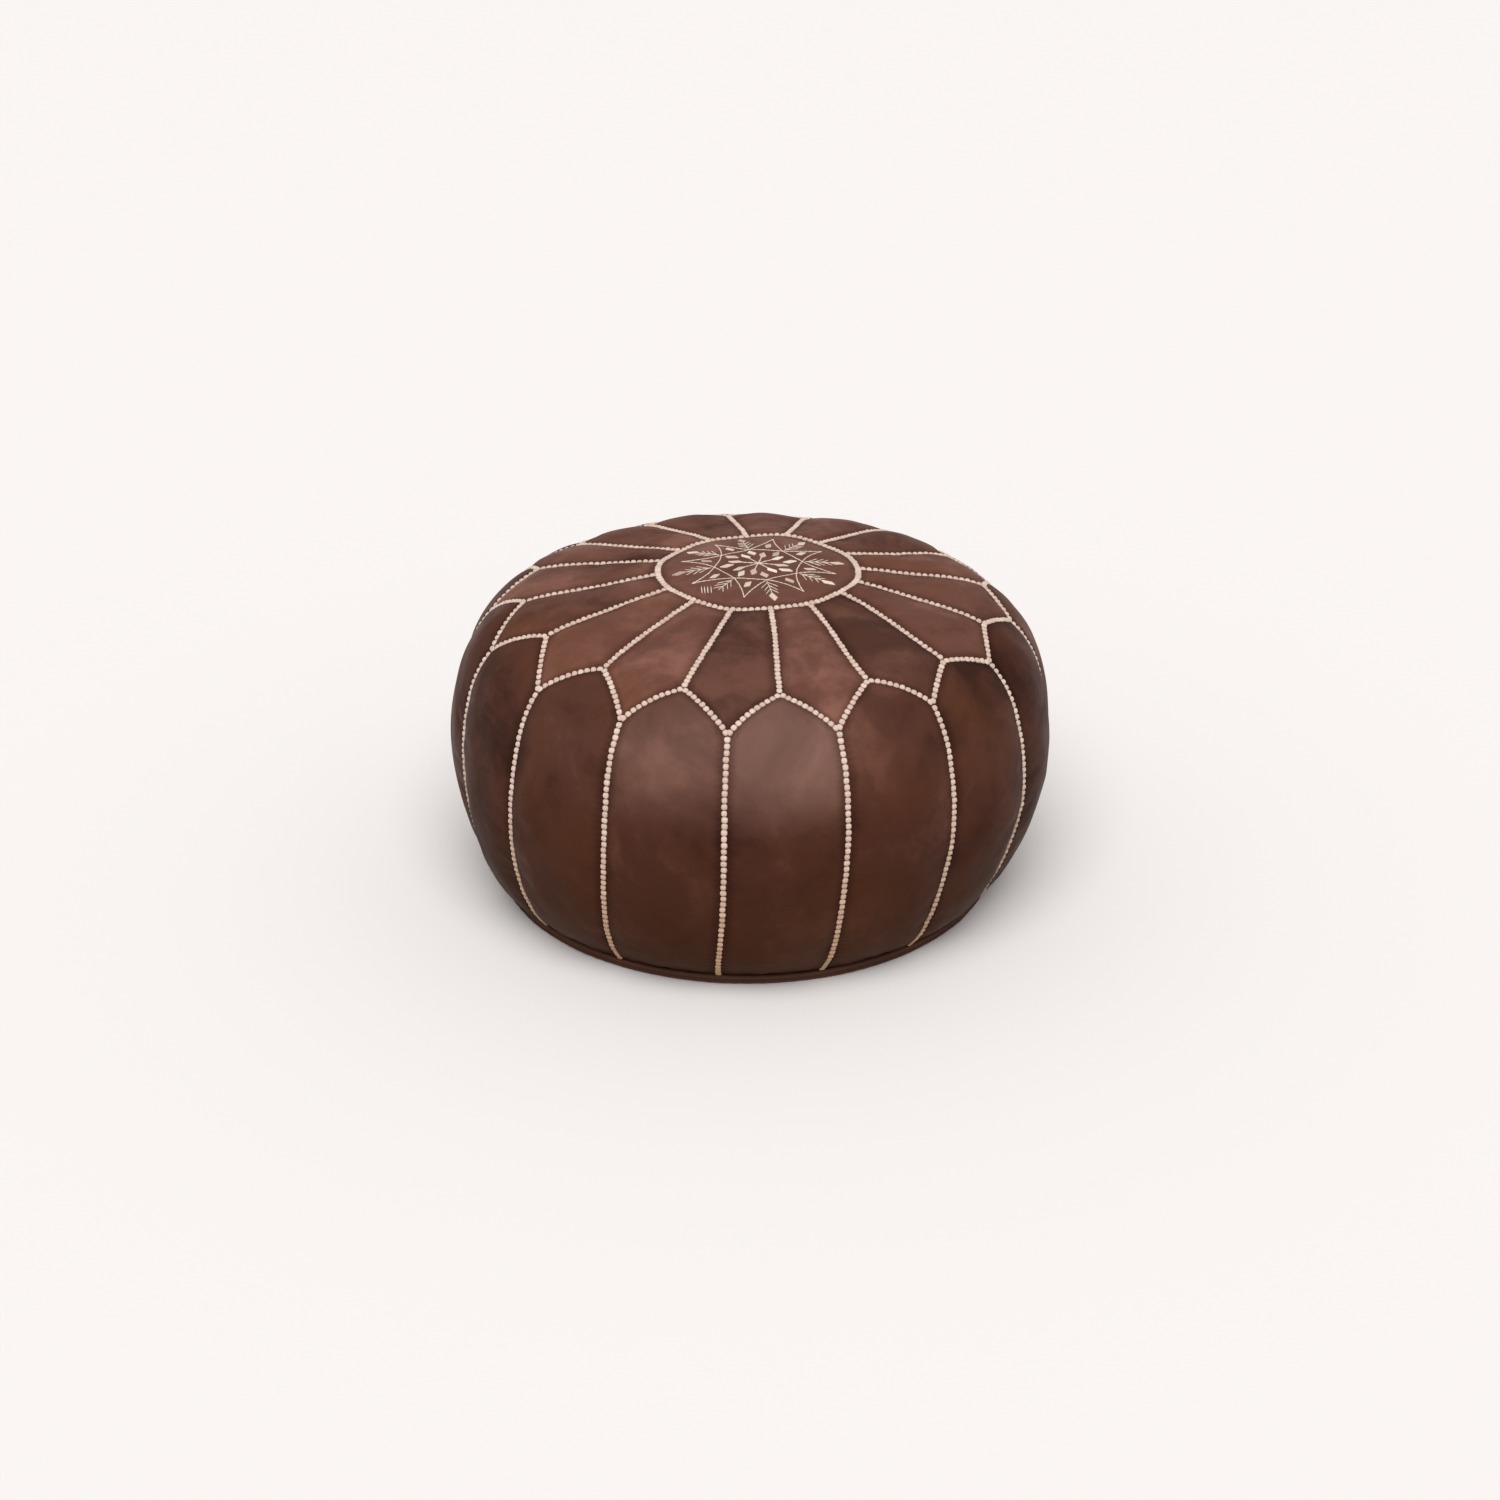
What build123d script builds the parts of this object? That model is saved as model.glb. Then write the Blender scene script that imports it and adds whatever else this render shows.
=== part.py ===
"""Stuffed leather pouf: embroidered medallion, petals and side panels over a stuffed bag, zipped base.

Millimetres, +Z up. The origin is the centre of the base, where it meets the floor, and the zip runs
along X. Spokes stand at whole panel steps from -Y, and the side seams lie half a step between them.
"""

import os
from math import acos, asin, atan, cos, degrees, radians, sin, sqrt, tan

from build123d import *

# ---- body outline ----
height = 298.0  # floor to the top of the medallion's leather
widest_radius = 275.0
widest_height = 137.0  # height of the widest circle
crown_rise = 25.3  # how far the crown stands above the shoulder's own top
shoulder_radius = 89.0
side_radius = 247.0  # curve of the side above the widest circle
tuck_in = 43.5  # how far the panels' bottom edge lies inside the widest circle
tuck_angle = 50.0  # slope of the panels at that edge, from the vertical
belly_angle = 16.0  # where the belly curve gives way to the tuck curve
panel_count = 16

# ---- leather and seams ----
leather = 1.6
seam_gap = 1.0  # slot between two panels, under the stitching
stitch_width = 5.8
stitch_height = 2.4
stitch_end_gap = 0.6  # between the ends of two rows of stitching
medallion_radius = 91.0
spoke_end_inset = 73.0  # spoke end to the widest circle, seen from above
petal_tip_inset = 37.0  # petal tip to the widest circle, seen from above
scallop_bow = 0.5  # how far each arch edge bows towards the centre

# ---- medallion embroidery ----
thread_height = 0.9
line_thread = 1.5
twig_thread = 1.0
star_points = 8
star_turn = 27.5  # degrees from +X to the first point of the star
star_radius = 71.0
star_bow = 14.0  # how far each side of the star bows inwards
leaf_length = 14.0
leaf_width = 6.4
inner_leaf_radius = 21.0  # leaves at the ends of the flower's stems
outer_leaf_radius = 28.0  # leaves between those
point_leaf_radius = 47.5  # leaves in the star's points
sprig_foot = 44.0
sprig_top = 66.0
twig_start = 2.0  # first pair of twigs, above the sprig's foot
twig_spacing = 6.5
twig_length = 11.5
twig_pairs = 3
twig_angle = 36.0  # between a twig and its stem
thread_overlap = 1.0  # of a stem's end, under its leaf

# ---- base and its welt ----
base_leather = 1.6
welt_section_radius = 4.0
welt_leather = 1.2
welt_stand_out = -1.0  # welt's centre outside the panels' bottom edge
welt_gap = 0.7  # between the welt and what is sewn to it
welt_slot = 1.4  # opening on the welt's inner side, where its two edges meet

# ---- zip ----
zip_end_margin = 71.5  # panels' bottom edge to the end of the chain of teeth
tape_thickness = 0.8
tape_reach = 18.0  # tape's outer edge from the centre line
tape_overhang = 14.0  # tape beyond the last tooth
tape_edge = 1.8  # tape's inner edge from the centre line
tooth_pitch = 3.0
tooth_length = 1.35
tooth_height = 3.0
tooth_reach = 3.5  # tooth's outer end from the centre line
tooth_past_centre = 1.0
stop_length = 4.0
stop_past_edge = 0.6  # of a top stop, over its tape's inner edge
stop_grip = 3.0  # of a top stop, out from that edge
bottom_stop_width = 8.0
recess_depth = 5.6  # how far the zip is drawn up into the base
recess_half_width = 22.0
recess_overhang = 34.0  # recess beyond the last tooth
window_half_width = 8.0
window_overhang = 8.0
slope = 45.0  # recess wall, from the vertical

# ---- zip slider and its pull tab ----
slider_length = 14.0
slider_tail_half = 5.4
slider_nose_half = 6.4
slider_nose_cut = 2.0  # across the nose's corners
slider_corner = 1.0
slider_wall = 1.3
slider_gap = 0.3  # clearance all round the teeth
tape_slot = 1.2
divider_length = 4.5
divider_half_width = 1.5
crown_half_length = 4.4
crown_half_width = 1.2
crown_bar = 1.2
crown_opening = 2.2
pull_pin_radius = 0.9
pull_thickness = 1.6
pull_length = 28.0
pull_half_width = 3.4
pull_arm = 1.5
pull_eye = 5.6  # from the pin's centre to the end of the pull's eye

# ---- stuffed bag ----
bag_gap = 0.5
bag_cloth = 0.8
bag_corner_margin = 2.5  # beyond the welt's section, for the cut across the bag's bottom corner
zip_headroom = 2.0  # above the slider's inner plate

# ---- worked out ----
step = 360 / panel_count
half_gap = seam_gap / 2
half_stitch = stitch_width / 2
edge_radius = widest_radius - tuck_in
edge_height = 2 * welt_section_radius + welt_gap
spoke_end_radius = widest_radius - spoke_end_inset
petal_tip_radius = widest_radius - petal_tip_inset
welt_radius = edge_radius + welt_stand_out
base_radius = welt_radius - welt_section_radius - welt_gap
bag_corner = welt_section_radius - welt_stand_out + bag_corner_margin
zip_half = edge_radius - zip_end_margin
recess_half_length = zip_half + recess_overhang
tape_bottom = recess_depth + base_leather
zip_plane = tape_bottom + tape_thickness / 2
plate_inside = tooth_height / 2 + slider_gap
plate_outside = plate_inside + slider_wall
slider_rest = zip_half - slider_length / 2
pin_height = zip_plane - plate_outside - crown_opening / 2
slider_travel = 2 * zip_half - slider_length - stop_length

os.makedirs("parts", exist_ok=True)


def save(part, name):
    """Writes one sub-part, labelled with its node's name."""
    part.label = name
    export_step(part, f"parts/{name}.step")


# ================= the body's outline =================
# Five tangent arcs, from the bottom edge to the top: tuck, belly, side, shoulder, crown.
# Each is (centre x, centre z, radius, start angle, end angle), and offsetting them is exact.
side_angle = asin(
    (height - crown_rise - shoulder_radius - widest_height) / (side_radius - shoulder_radius)
)
shoulder_x = widest_radius - side_radius + (side_radius - shoulder_radius) * cos(side_angle)
shoulder_z = widest_height + (side_radius - shoulder_radius) * sin(side_angle)
crown_half_angle = 2 * atan(crown_rise / shoulder_x)
crown_radius = shoulder_radius + shoulder_x / sin(crown_half_angle)
crown_z = height - crown_radius

belly_cos, belly_sin = cos(radians(belly_angle)), sin(radians(belly_angle))
tuck_cos, tuck_sin = cos(radians(tuck_angle)), sin(radians(tuck_angle))
drop = widest_height - edge_height
tuck_radius = (tuck_in * belly_sin - drop * (1 - belly_cos)) / (
    (belly_cos - tuck_cos) * belly_sin - (tuck_sin - belly_sin) * (1 - belly_cos)
)
belly_radius = (drop - tuck_radius * (tuck_sin - belly_sin)) / belly_sin
belly_x = widest_radius - belly_radius
tuck_x = belly_x + (belly_radius - tuck_radius) * belly_cos
tuck_z = widest_height - (belly_radius - tuck_radius) * belly_sin

OUTLINE = (
    (tuck_x, tuck_z, tuck_radius, -tuck_angle, -belly_angle),
    (belly_x, widest_height, belly_radius, -belly_angle, 0),
    (widest_radius - side_radius, widest_height, side_radius, 0, degrees(side_angle)),
    (shoulder_x, shoulder_z, shoulder_radius, degrees(side_angle), 90 - degrees(crown_half_angle)),
    (0, crown_z, crown_radius, 90 - degrees(crown_half_angle), 90),
)


def outline_arcs(outset):
    """The outline's arcs in the XZ plane, moved outwards by outset."""
    for x, z, radius, start, end in OUTLINE:
        CenterArc((x, z), radius + outset, start, end - start)


def edge_point(outset):
    """The outline's bottom end, moved outwards by outset."""
    return (edge_radius + outset * tuck_cos, edge_height - outset * tuck_sin)


def surface_height(radius, outset=0.0):
    """Height of the body's upper surface at a distance from the axis."""
    if radius < crown_radius * sin(crown_half_angle):
        return crown_z + sqrt((crown_radius + outset) ** 2 - radius**2)
    return shoulder_z + sqrt((shoulder_radius + outset) ** 2 - (radius - shoulder_x) ** 2)


def skin(inner, outer):
    """A shell of revolution between two outsets of the outline, open at the bottom."""
    with BuildPart() as shell:
        with BuildSketch(Plane.XZ):
            with BuildLine():
                outline_arcs(outer)
                Line((0, height + outer), (0, height + inner))
                outline_arcs(inner)
                Line(edge_point(inner), edge_point(outer))
            make_face()
        revolve(axis=Axis.Z)
    return shell.part


def stuffed_form(outset, bottom):
    """The closed solid inside an inset of the outline, flat at the bottom, with its corner cut off."""
    edge_x, edge_z = edge_point(outset)
    with BuildPart() as form:
        with BuildSketch(Plane.XZ):
            with BuildLine():
                outline_arcs(outset)
                Polyline(
                    (0, height + outset), (0, bottom), (edge_x - bag_corner, bottom), (edge_x, edge_z)
                )
            make_face()
        revolve(axis=Axis.Z)
    return form.part


def around(part, count=panel_count, turn=step):
    """Copies of a part, turned about Z by whole steps."""
    return [part.rotate(Axis.Z, n * turn) for n in range(count)]


leather_skin = skin(-leather, 0)
stitch_skin = skin(0, stitch_height)


# ================= plan of the scalloped seam =================
def polar(radius, angle):
    """A point in the plan, with its angle from +X in degrees."""
    return (radius * cos(radians(angle)), radius * sin(radians(angle)))


FRONT = -90.0  # spoke 0 stands at the front

with BuildSketch() as top_plan:
    with BuildLine():
        for n in range(panel_count):
            spoke_end = Vector(*polar(spoke_end_radius, FRONT + n * step))
            tip = Vector(*polar(petal_tip_radius, FRONT + (n + 0.5) * step))
            next_end = Vector(*polar(spoke_end_radius, FRONT + (n + 1) * step))
            for start, end in ((spoke_end, tip), (tip, next_end)):
                middle = (start + end) / 2
                across = (end - start).normalized().rotate(Axis.Z, 90)
                ThreePointArc(start, middle + across * scallop_bow, end)
    make_face()


def top_prism(grow):
    """Upright prism over the scalloped top, its outline moved outwards by grow."""
    with BuildPart() as prism:
        with BuildSketch(Plane.XY.offset(widest_height)):
            add(offset(top_plan.face(), grow, kind=Kind.INTERSECTION, mode=Mode.PRIVATE))
        extrude(amount=height)
    return prism.part


def wedge(centre_angle, half_slot):
    """Upright wedge over one panel, cut back by half_slot from the seams on both sides."""
    reach = 2 * widest_radius
    inset = half_slot / sin(radians(step / 2))
    with BuildPart() as prism:
        with BuildSketch(Plane.XY):
            with BuildLine(Plane.XY.rotated((0, 0, centre_angle))):
                Polyline(
                    (inset, 0),
                    (reach, (reach - inset) * tan(radians(step / 2))),
                    (reach, -(reach - inset) * tan(radians(step / 2))),
                    close=True,
                )
            make_face()
        extrude(amount=2 * height)
    return prism.part


# ================= medallion =================
with BuildPart() as medallion:
    add(leather_skin)
    with BuildSketch(Plane.XY.offset(widest_height)):
        Circle(medallion_radius - half_gap)
    extrude(amount=height, mode=Mode.INTERSECT)
save(medallion.part, "medallion")

with BuildPart() as medallion_stitching:
    add(stitch_skin)
    with BuildSketch(Plane.XY.offset(widest_height)):
        Circle(medallion_radius + half_stitch)
        Circle(medallion_radius - half_stitch, mode=Mode.SUBTRACT)
    extrude(amount=height, mode=Mode.INTERSECT)
save(medallion_stitching.part, "medallion_stitching")

# ================= petals =================
with BuildPart() as petal:
    add(leather_skin)
    add(top_prism(-half_gap), mode=Mode.INTERSECT)
    add(wedge(FRONT + step / 2, half_gap), mode=Mode.INTERSECT)
    with BuildSketch(Plane.XY.offset(widest_height)):
        Circle(medallion_radius + half_gap)
    extrude(amount=height, mode=Mode.SUBTRACT)
for number, copy in enumerate(around(petal.part), 1):
    save(copy, f"petal_{number:02d}")

# ================= side panels =================
with BuildPart() as side_panel:
    add(leather_skin)
    add(wedge(FRONT, half_gap), mode=Mode.INTERSECT)
    add(top_prism(half_gap), mode=Mode.SUBTRACT)
for number, copy in enumerate(around(side_panel.part), 1):
    save(copy, f"side_panel_{number:02d}")


# ================= stitching over the seams =================
def seam_slab(angle):
    """Upright slab as wide as the stitching, over one seam, from just above the welt."""
    with BuildPart() as slab:
        with BuildSketch(Plane.XY.offset(edge_height + stitch_end_gap)):
            with Locations(polar(widest_radius, angle)):
                Rectangle(2 * widest_radius, stitch_width, rotation=angle)
        extrude(amount=2 * height)
    return slab.part


scallop_band = top_prism(half_stitch) - top_prism(-half_stitch)

with BuildPart() as scallop_stitching:
    add(stitch_skin)
    add(scallop_band, mode=Mode.INTERSECT)
save(scallop_stitching.part, "scallop_stitching")

with BuildPart() as spoke_row:
    add(stitch_skin)
    add(seam_slab(FRONT), mode=Mode.INTERSECT)
    add(top_prism(-half_stitch - stitch_end_gap), mode=Mode.INTERSECT)
    with BuildSketch(Plane.XY.offset(widest_height)):
        Circle(medallion_radius + half_stitch + stitch_end_gap)
    extrude(amount=height, mode=Mode.SUBTRACT)
save(Compound(around(spoke_row.part)), "spoke_stitching")

with BuildPart() as side_row:
    add(stitch_skin)
    add(seam_slab(FRONT + step / 2), mode=Mode.INTERSECT)
    add(top_prism(half_stitch + stitch_end_gap), mode=Mode.SUBTRACT)
save(Compound(around(side_row.part)), "side_stitching")

# ================= embroidery on the medallion =================
thread_skin = skin(0, thread_height)
star_step = 360 / star_points


def leaf_at(radius, angle):
    """A satin-stitched leaf, pointing away from the centre."""
    with Locations(Location((*polar(radius, angle), 0), (0, 0, angle))):
        half_long, half_wide = leaf_length / 2, leaf_width / 2
        Polygon((-half_long, 0), (0, half_wide), (half_long, 0), (0, -half_wide), align=None)


def stroke(start, end, width):
    """A straight line of thread."""
    span = Vector(*end) - Vector(*start)
    turn = degrees(acos(span.X / span.length)) * (1 if span.Y >= 0 else -1)
    with Locations(Location(((start[0] + end[0]) / 2, (start[1] + end[1]) / 2, 0), (0, 0, turn))):
        Rectangle(span.length, width)


def embroider(plan, name):
    """Thread as thick as thread_height on the medallion, over a plan."""
    with BuildPart() as threads:
        add(thread_skin)
        with BuildSketch(Plane.XY.offset(widest_height)):
            add(plan)
        extrude(amount=height, mode=Mode.INTERSECT)
    save(threads.part, name)


# The star: each side is an arc from one point to the next but one, bowed towards the centre.
bow_radius = star_radius * cos(radians(star_step)) - star_bow
with BuildSketch() as star_plan:
    for n in range(star_points):
        angle = star_turn + n * star_step
        with BuildLine() as star_side:
            ThreePointArc(
                polar(star_radius, angle),
                polar(bow_radius, angle + star_step),
                polar(star_radius, angle + 2 * star_step),
            )
        trace(lines=star_side.line, line_width=line_thread)
embroider(star_plan.sketch, "star_embroidery")

# The flower: stems that end in leaves, leaves between them, and a leaf in each point of the star.
with BuildSketch() as flower_plan:
    Circle(line_thread)
    for n in range(star_points):
        angle = star_turn + n * star_step
        stroke((0, 0), polar(inner_leaf_radius - leaf_length / 2 + thread_overlap, angle), twig_thread)
        leaf_at(inner_leaf_radius, angle)
        leaf_at(outer_leaf_radius, angle + star_step / 2)
        leaf_at(point_leaf_radius, angle)
embroider(flower_plan.sketch, "flower_embroidery")

# A sprig between each two points of the star: a stem, pairs of twigs, and a leaf at its top.
with BuildSketch() as sprig_plan:
    for n in range(star_points):
        angle = star_turn + (n + 0.5) * star_step
        stroke(polar(sprig_foot, angle), polar(sprig_top + thread_overlap, angle), twig_thread)
        leaf_at(sprig_top + leaf_length / 2, angle)
        for pair in range(twig_pairs):
            foot = Vector(*polar(sprig_foot + twig_start + pair * twig_spacing, angle))
            for side in (-1, 1):
                twig_end = foot + Vector(*polar(twig_length, angle + side * twig_angle))
                stroke((foot.X, foot.Y), (twig_end.X, twig_end.Y), twig_thread)
embroider(sprig_plan.sketch, "sprig_embroidery")

# ================= base welt: leather rolled round a cord =================
with BuildPart() as base_welt:
    with BuildSketch(Plane.XZ):
        with Locations((welt_radius, welt_section_radius)):
            Circle(welt_section_radius)
            Circle(welt_section_radius - welt_leather, mode=Mode.SUBTRACT)
        with Locations((welt_radius - welt_section_radius, welt_section_radius)):
            Rectangle(2 * welt_section_radius, welt_slot, mode=Mode.SUBTRACT)
    revolve(axis=Axis.Z)
save(base_welt.part, "base_welt")

with BuildPart() as welt_cord:
    with BuildSketch(Plane.XZ):
        with Locations((welt_radius, welt_section_radius)):
            Circle(welt_section_radius - welt_leather)
    revolve(axis=Axis.Z)
save(welt_cord.part, "welt_cord")


# ================= base, drawn up round the zip =================
def valley(half_length, half_width, top, bottom=0.0):
    """A long round-ended mound whose walls slope in towards its flat top."""
    run = (top - bottom) * tan(radians(slope))
    with BuildPart() as mound:
        with BuildSketch(Plane.XY.offset(bottom)):
            SlotOverall(2 * (half_length + run), 2 * (half_width + run))
        with BuildSketch(Plane.XY.offset(top)):
            SlotOverall(2 * half_length, 2 * half_width)
        loft(ruled=True)
    return mound.part


wall_run = base_leather * tan(radians(slope / 2))  # keeps the sloping wall as thick as the leather
with BuildPart() as base_whole:
    with BuildSketch():
        Circle(base_radius)
    extrude(amount=base_leather)
    add(valley(recess_half_length + wall_run, recess_half_width + wall_run, recess_depth + base_leather))
    add(valley(recess_half_length, recess_half_width, recess_depth), mode=Mode.SUBTRACT)
    with BuildSketch():
        SlotOverall(2 * (zip_half + window_overhang), 2 * window_half_width)
    extrude(amount=recess_depth + 2 * base_leather, mode=Mode.SUBTRACT)

for name, sign in (("base_front", -1), ("base_back", 1)):
    with BuildPart() as base_half:
        add(base_whole.part)
        with Locations((0, sign * (half_gap + base_radius), 0)):
            Box(4 * base_radius, 2 * base_radius, 4 * recess_depth, mode=Mode.INTERSECT)
    save(base_half.part, name)

# ================= zip tapes, teeth and stops =================
tape_width = tape_reach - tape_edge
for name, sign in (("zip_tape_front", -1), ("zip_tape_back", 1)):
    with BuildPart() as tape:
        with BuildSketch(Plane.XY.offset(tape_bottom)):
            with Locations((0, sign * (tape_edge + tape_width / 2))):
                Rectangle(2 * (zip_half + tape_overhang), tape_width)
        extrude(amount=tape_thickness)
    save(tape.part, name)


def clamp(length, near, far, thickness):
    """A block clamped over a tape's edge at +Y, from near to far, with its slot for the tape."""
    with BuildPart() as block:
        with BuildSketch(Plane.YZ):
            with Locations(((near + far) / 2, 0)):
                RectangleRounded(far - near, thickness, min(thickness, far - near) / 5)
            with Locations(((tape_edge + far) / 2 + length, 0)):
                Rectangle(far - tape_edge + 2 * length, tape_thickness, mode=Mode.SUBTRACT)
        extrude(amount=length / 2, both=True)
    return block.part


# The chain is closed as far as the slider's tail. The two rows stand half a pitch apart.
tooth = clamp(tooth_length, -tooth_past_centre, tooth_reach, tooth_height)
chain_end = slider_rest - divider_length / 2
tooth_count = int((chain_end + zip_half - stop_length) / tooth_pitch)
for name, side, shift in (("zip_teeth_back", 0, 0), ("zip_teeth_front", 180, tooth_pitch / 2)):
    row = []
    for n in range(tooth_count):
        x = chain_end - tooth_pitch - n * tooth_pitch + shift
        row.append(tooth.rotate(Axis.Z, side).moved(Location((x, 0, zip_plane))))
    save(Compound(row), name)

top_stop = clamp(stop_length, tape_edge - stop_past_edge, tape_edge + stop_grip, tooth_height)
stop_x = zip_half + stop_length / 2 + slider_gap
stops = [
    top_stop.rotate(Axis.Z, turn).moved(Location((stop_x, 0, zip_plane))) for turn in (0, 180)
]
with BuildPart() as bottom_stop:
    with Locations((-zip_half + stop_length / 2 - slider_gap, 0, zip_plane)):
        Box(stop_length, bottom_stop_width, tooth_height)
        fillet(bottom_stop.edges().filter_by(Axis.Z), stop_length / 4)
        with Locations((0, tape_reach, 0), (0, -tape_reach, 0)):
            Box(2 * stop_length, 2 * tape_width, tape_thickness, mode=Mode.SUBTRACT)
stops.append(bottom_stop.part)
save(Compound(stops), "zip_stops")

# ================= zip slider =================
half_length = slider_length / 2
with BuildSketch() as slider_plan:
    with BuildLine():
        Polyline(
            (-half_length, -slider_tail_half),
            (0, -slider_tail_half),
            (half_length / 2, -slider_nose_half),
            (half_length, -slider_nose_half + slider_nose_cut),
            (half_length, slider_nose_half - slider_nose_cut),
            (half_length / 2, slider_nose_half),
            (0, slider_tail_half),
            (-half_length, slider_tail_half),
            close=True,
        )
    make_face()
    fillet(slider_plan.vertices(), slider_corner)

with BuildPart() as zip_slider:
    with BuildSketch(Plane.XY.offset(-plate_outside)):
        add(slider_plan.sketch)
    extrude(amount=2 * plate_outside)
    with BuildSketch(Plane.XY.offset(-plate_inside)):
        # the channel for the closed chain, and the wider one that parts it at the nose
        with Locations((-half_length / 2, 0)):
            Rectangle(half_length + 1, 2 * (tooth_reach + slider_gap))
        with Locations((half_length / 2, 0)):
            Rectangle(half_length + 1, 2 * (slider_nose_half - slider_wall))
        with Locations((half_length - divider_length / 2, 0)):
            Ellipse(divider_length / 2, divider_half_width, mode=Mode.SUBTRACT)
    extrude(amount=2 * plate_inside, mode=Mode.SUBTRACT)
    with BuildSketch(Plane.XY.offset(-tape_slot / 2)):
        # slots on both sides for the tapes
        with Locations((0, tape_edge + tape_width / 2), (0, -tape_edge - tape_width / 2)):
            Rectangle(2 * slider_length, tape_width)
    extrude(amount=tape_slot, mode=Mode.SUBTRACT)
    with BuildSketch(Plane.XZ.offset(-crown_half_width)):
        crown_depth = crown_opening + crown_bar
        with Locations((0, -plate_outside - crown_depth / 2)):
            Rectangle(2 * crown_half_length, crown_depth)
        with Locations((0, -plate_outside - crown_opening / 2)):
            Rectangle(2 * (crown_half_length - crown_bar), crown_opening, mode=Mode.SUBTRACT)
    extrude(amount=2 * crown_half_width)
    crown_ends = zip_slider.edges().filter_by(Axis.Y).group_by(Axis.Z)[0]
    fillet(crown_ends, crown_bar)
save(zip_slider.part.moved(Location((slider_rest, 0, zip_plane))), "zip_slider")

# ================= pull tab, hinged in the slider's crown =================
with BuildPart() as zip_pull:
    with BuildSketch(Plane.XY.offset(-pull_thickness / 2)):
        with Locations((-pull_length + pull_half_width, 0)):
            Circle(pull_half_width)
        with Locations(((pull_half_width - pull_length) / 2, 0)):
            Rectangle(pull_length - pull_half_width, 2 * pull_half_width)
        with Locations((-pull_eye / 2, 0)):
            Rectangle(pull_eye, 2 * (pull_half_width - pull_arm), mode=Mode.SUBTRACT)
        with Locations((-pull_length + pull_half_width, 0)):
            Circle(pull_arm, mode=Mode.SUBTRACT)
    extrude(amount=pull_thickness)
    with Locations(Rotation(90, 0, 0)):
        Cylinder(pull_pin_radius, 2 * pull_half_width)
save(zip_pull.part.moved(Location((slider_rest, 0, pin_height))), "zip_pull")

# ================= stuffed inner bag =================
zip_clear = zip_plane + plate_outside + zip_headroom
bag_inset = -leather - bag_gap
bag_bottom = base_leather + bag_gap
cloth_run = bag_cloth * tan(radians(slope / 2))
bag_half_length = recess_half_length + 2 * wall_run + bag_gap
bag_half_width = recess_half_width + 2 * wall_run + bag_gap
bag_outside = stuffed_form(bag_inset, bag_bottom) - valley(
    bag_half_length, bag_half_width, zip_clear, bag_bottom
)
stuffing = stuffed_form(bag_inset - bag_cloth, bag_bottom + bag_cloth) - valley(
    bag_half_length + cloth_run, bag_half_width + cloth_run, zip_clear + bag_cloth, bag_bottom
)
save(bag_outside - stuffing, "inner_bag")
save(stuffing, "stuffing")

print(
    f"zip half length {zip_half:.1f}, travel {slider_travel:.1f}, slider at x {slider_rest:.1f}, "
    f"pin at z {pin_height:.2f}, crown down to z {pin_height - crown_opening / 2 - crown_bar:.2f}, "
    f"teeth a side {tooth_count}, tuck radius {tuck_radius:.1f}, belly radius {belly_radius:.1f}, "
    f"spoke end height {surface_height(spoke_end_radius):.1f}"
)
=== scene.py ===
import math
import random

import bpy
import numpy as np
from mathutils import Matrix, Vector


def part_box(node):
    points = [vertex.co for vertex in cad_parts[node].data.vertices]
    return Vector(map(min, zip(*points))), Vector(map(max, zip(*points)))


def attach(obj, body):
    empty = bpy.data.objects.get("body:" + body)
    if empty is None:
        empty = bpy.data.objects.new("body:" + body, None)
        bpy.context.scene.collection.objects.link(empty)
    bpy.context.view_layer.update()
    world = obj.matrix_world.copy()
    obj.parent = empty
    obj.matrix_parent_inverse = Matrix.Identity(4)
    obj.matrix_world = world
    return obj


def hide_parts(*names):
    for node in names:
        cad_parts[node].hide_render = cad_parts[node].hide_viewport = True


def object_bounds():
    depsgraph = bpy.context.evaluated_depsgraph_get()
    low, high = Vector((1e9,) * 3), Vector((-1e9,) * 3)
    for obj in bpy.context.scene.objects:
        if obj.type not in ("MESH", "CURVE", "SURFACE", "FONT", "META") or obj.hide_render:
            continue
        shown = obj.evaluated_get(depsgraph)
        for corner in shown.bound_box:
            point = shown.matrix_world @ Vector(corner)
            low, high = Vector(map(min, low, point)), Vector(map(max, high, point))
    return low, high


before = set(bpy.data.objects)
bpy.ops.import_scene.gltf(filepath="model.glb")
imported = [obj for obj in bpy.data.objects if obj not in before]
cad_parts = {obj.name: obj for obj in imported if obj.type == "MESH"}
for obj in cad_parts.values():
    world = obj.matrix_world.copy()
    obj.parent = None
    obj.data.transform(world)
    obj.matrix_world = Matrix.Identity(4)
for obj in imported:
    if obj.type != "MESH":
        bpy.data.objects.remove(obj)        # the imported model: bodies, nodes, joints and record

mm = 0.001
cad_box = [list(corner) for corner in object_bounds()]

# ================= petals and side panels =================
# The cover is sixteen top petals and sixteen tall side panels, cut from goat leather 1.6 mm thick and
# dyed by hand. They are sewn edge to edge, and the tight stuffing makes each panel swell between its
# seams. All of them are laid out here as one sheet, drawn over the stuffed form, then cut apart.
PANELS = 16
STEP = 2 * math.pi / PANELS
FRONT = -math.pi / 2
widest_radius = cad_box[1][0]
top_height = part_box("medallion")[1].z
ring_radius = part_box("medallion")[1].x + 0.5 * mm
welt_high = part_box("base_welt")[1]
edge_radius = welt_high.x - 3 * mm
edge_height = welt_high.z + 0.7 * mm
spoke_end_radius = widest_radius - 73 * mm
tip_radius = widest_radius - 37 * mm
scallop_bow = 0.5 * mm
leather_thickness = 1.6 * mm
seam_inset = 4.5 * mm    # the thread draws the seams in
stitch_pitch = 5.6 * mm
crown_shift = (8.5 * mm, 12 * mm)    # the crown has settled to one side and back, and tilts a little
crown_tilt = 0.02
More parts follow.
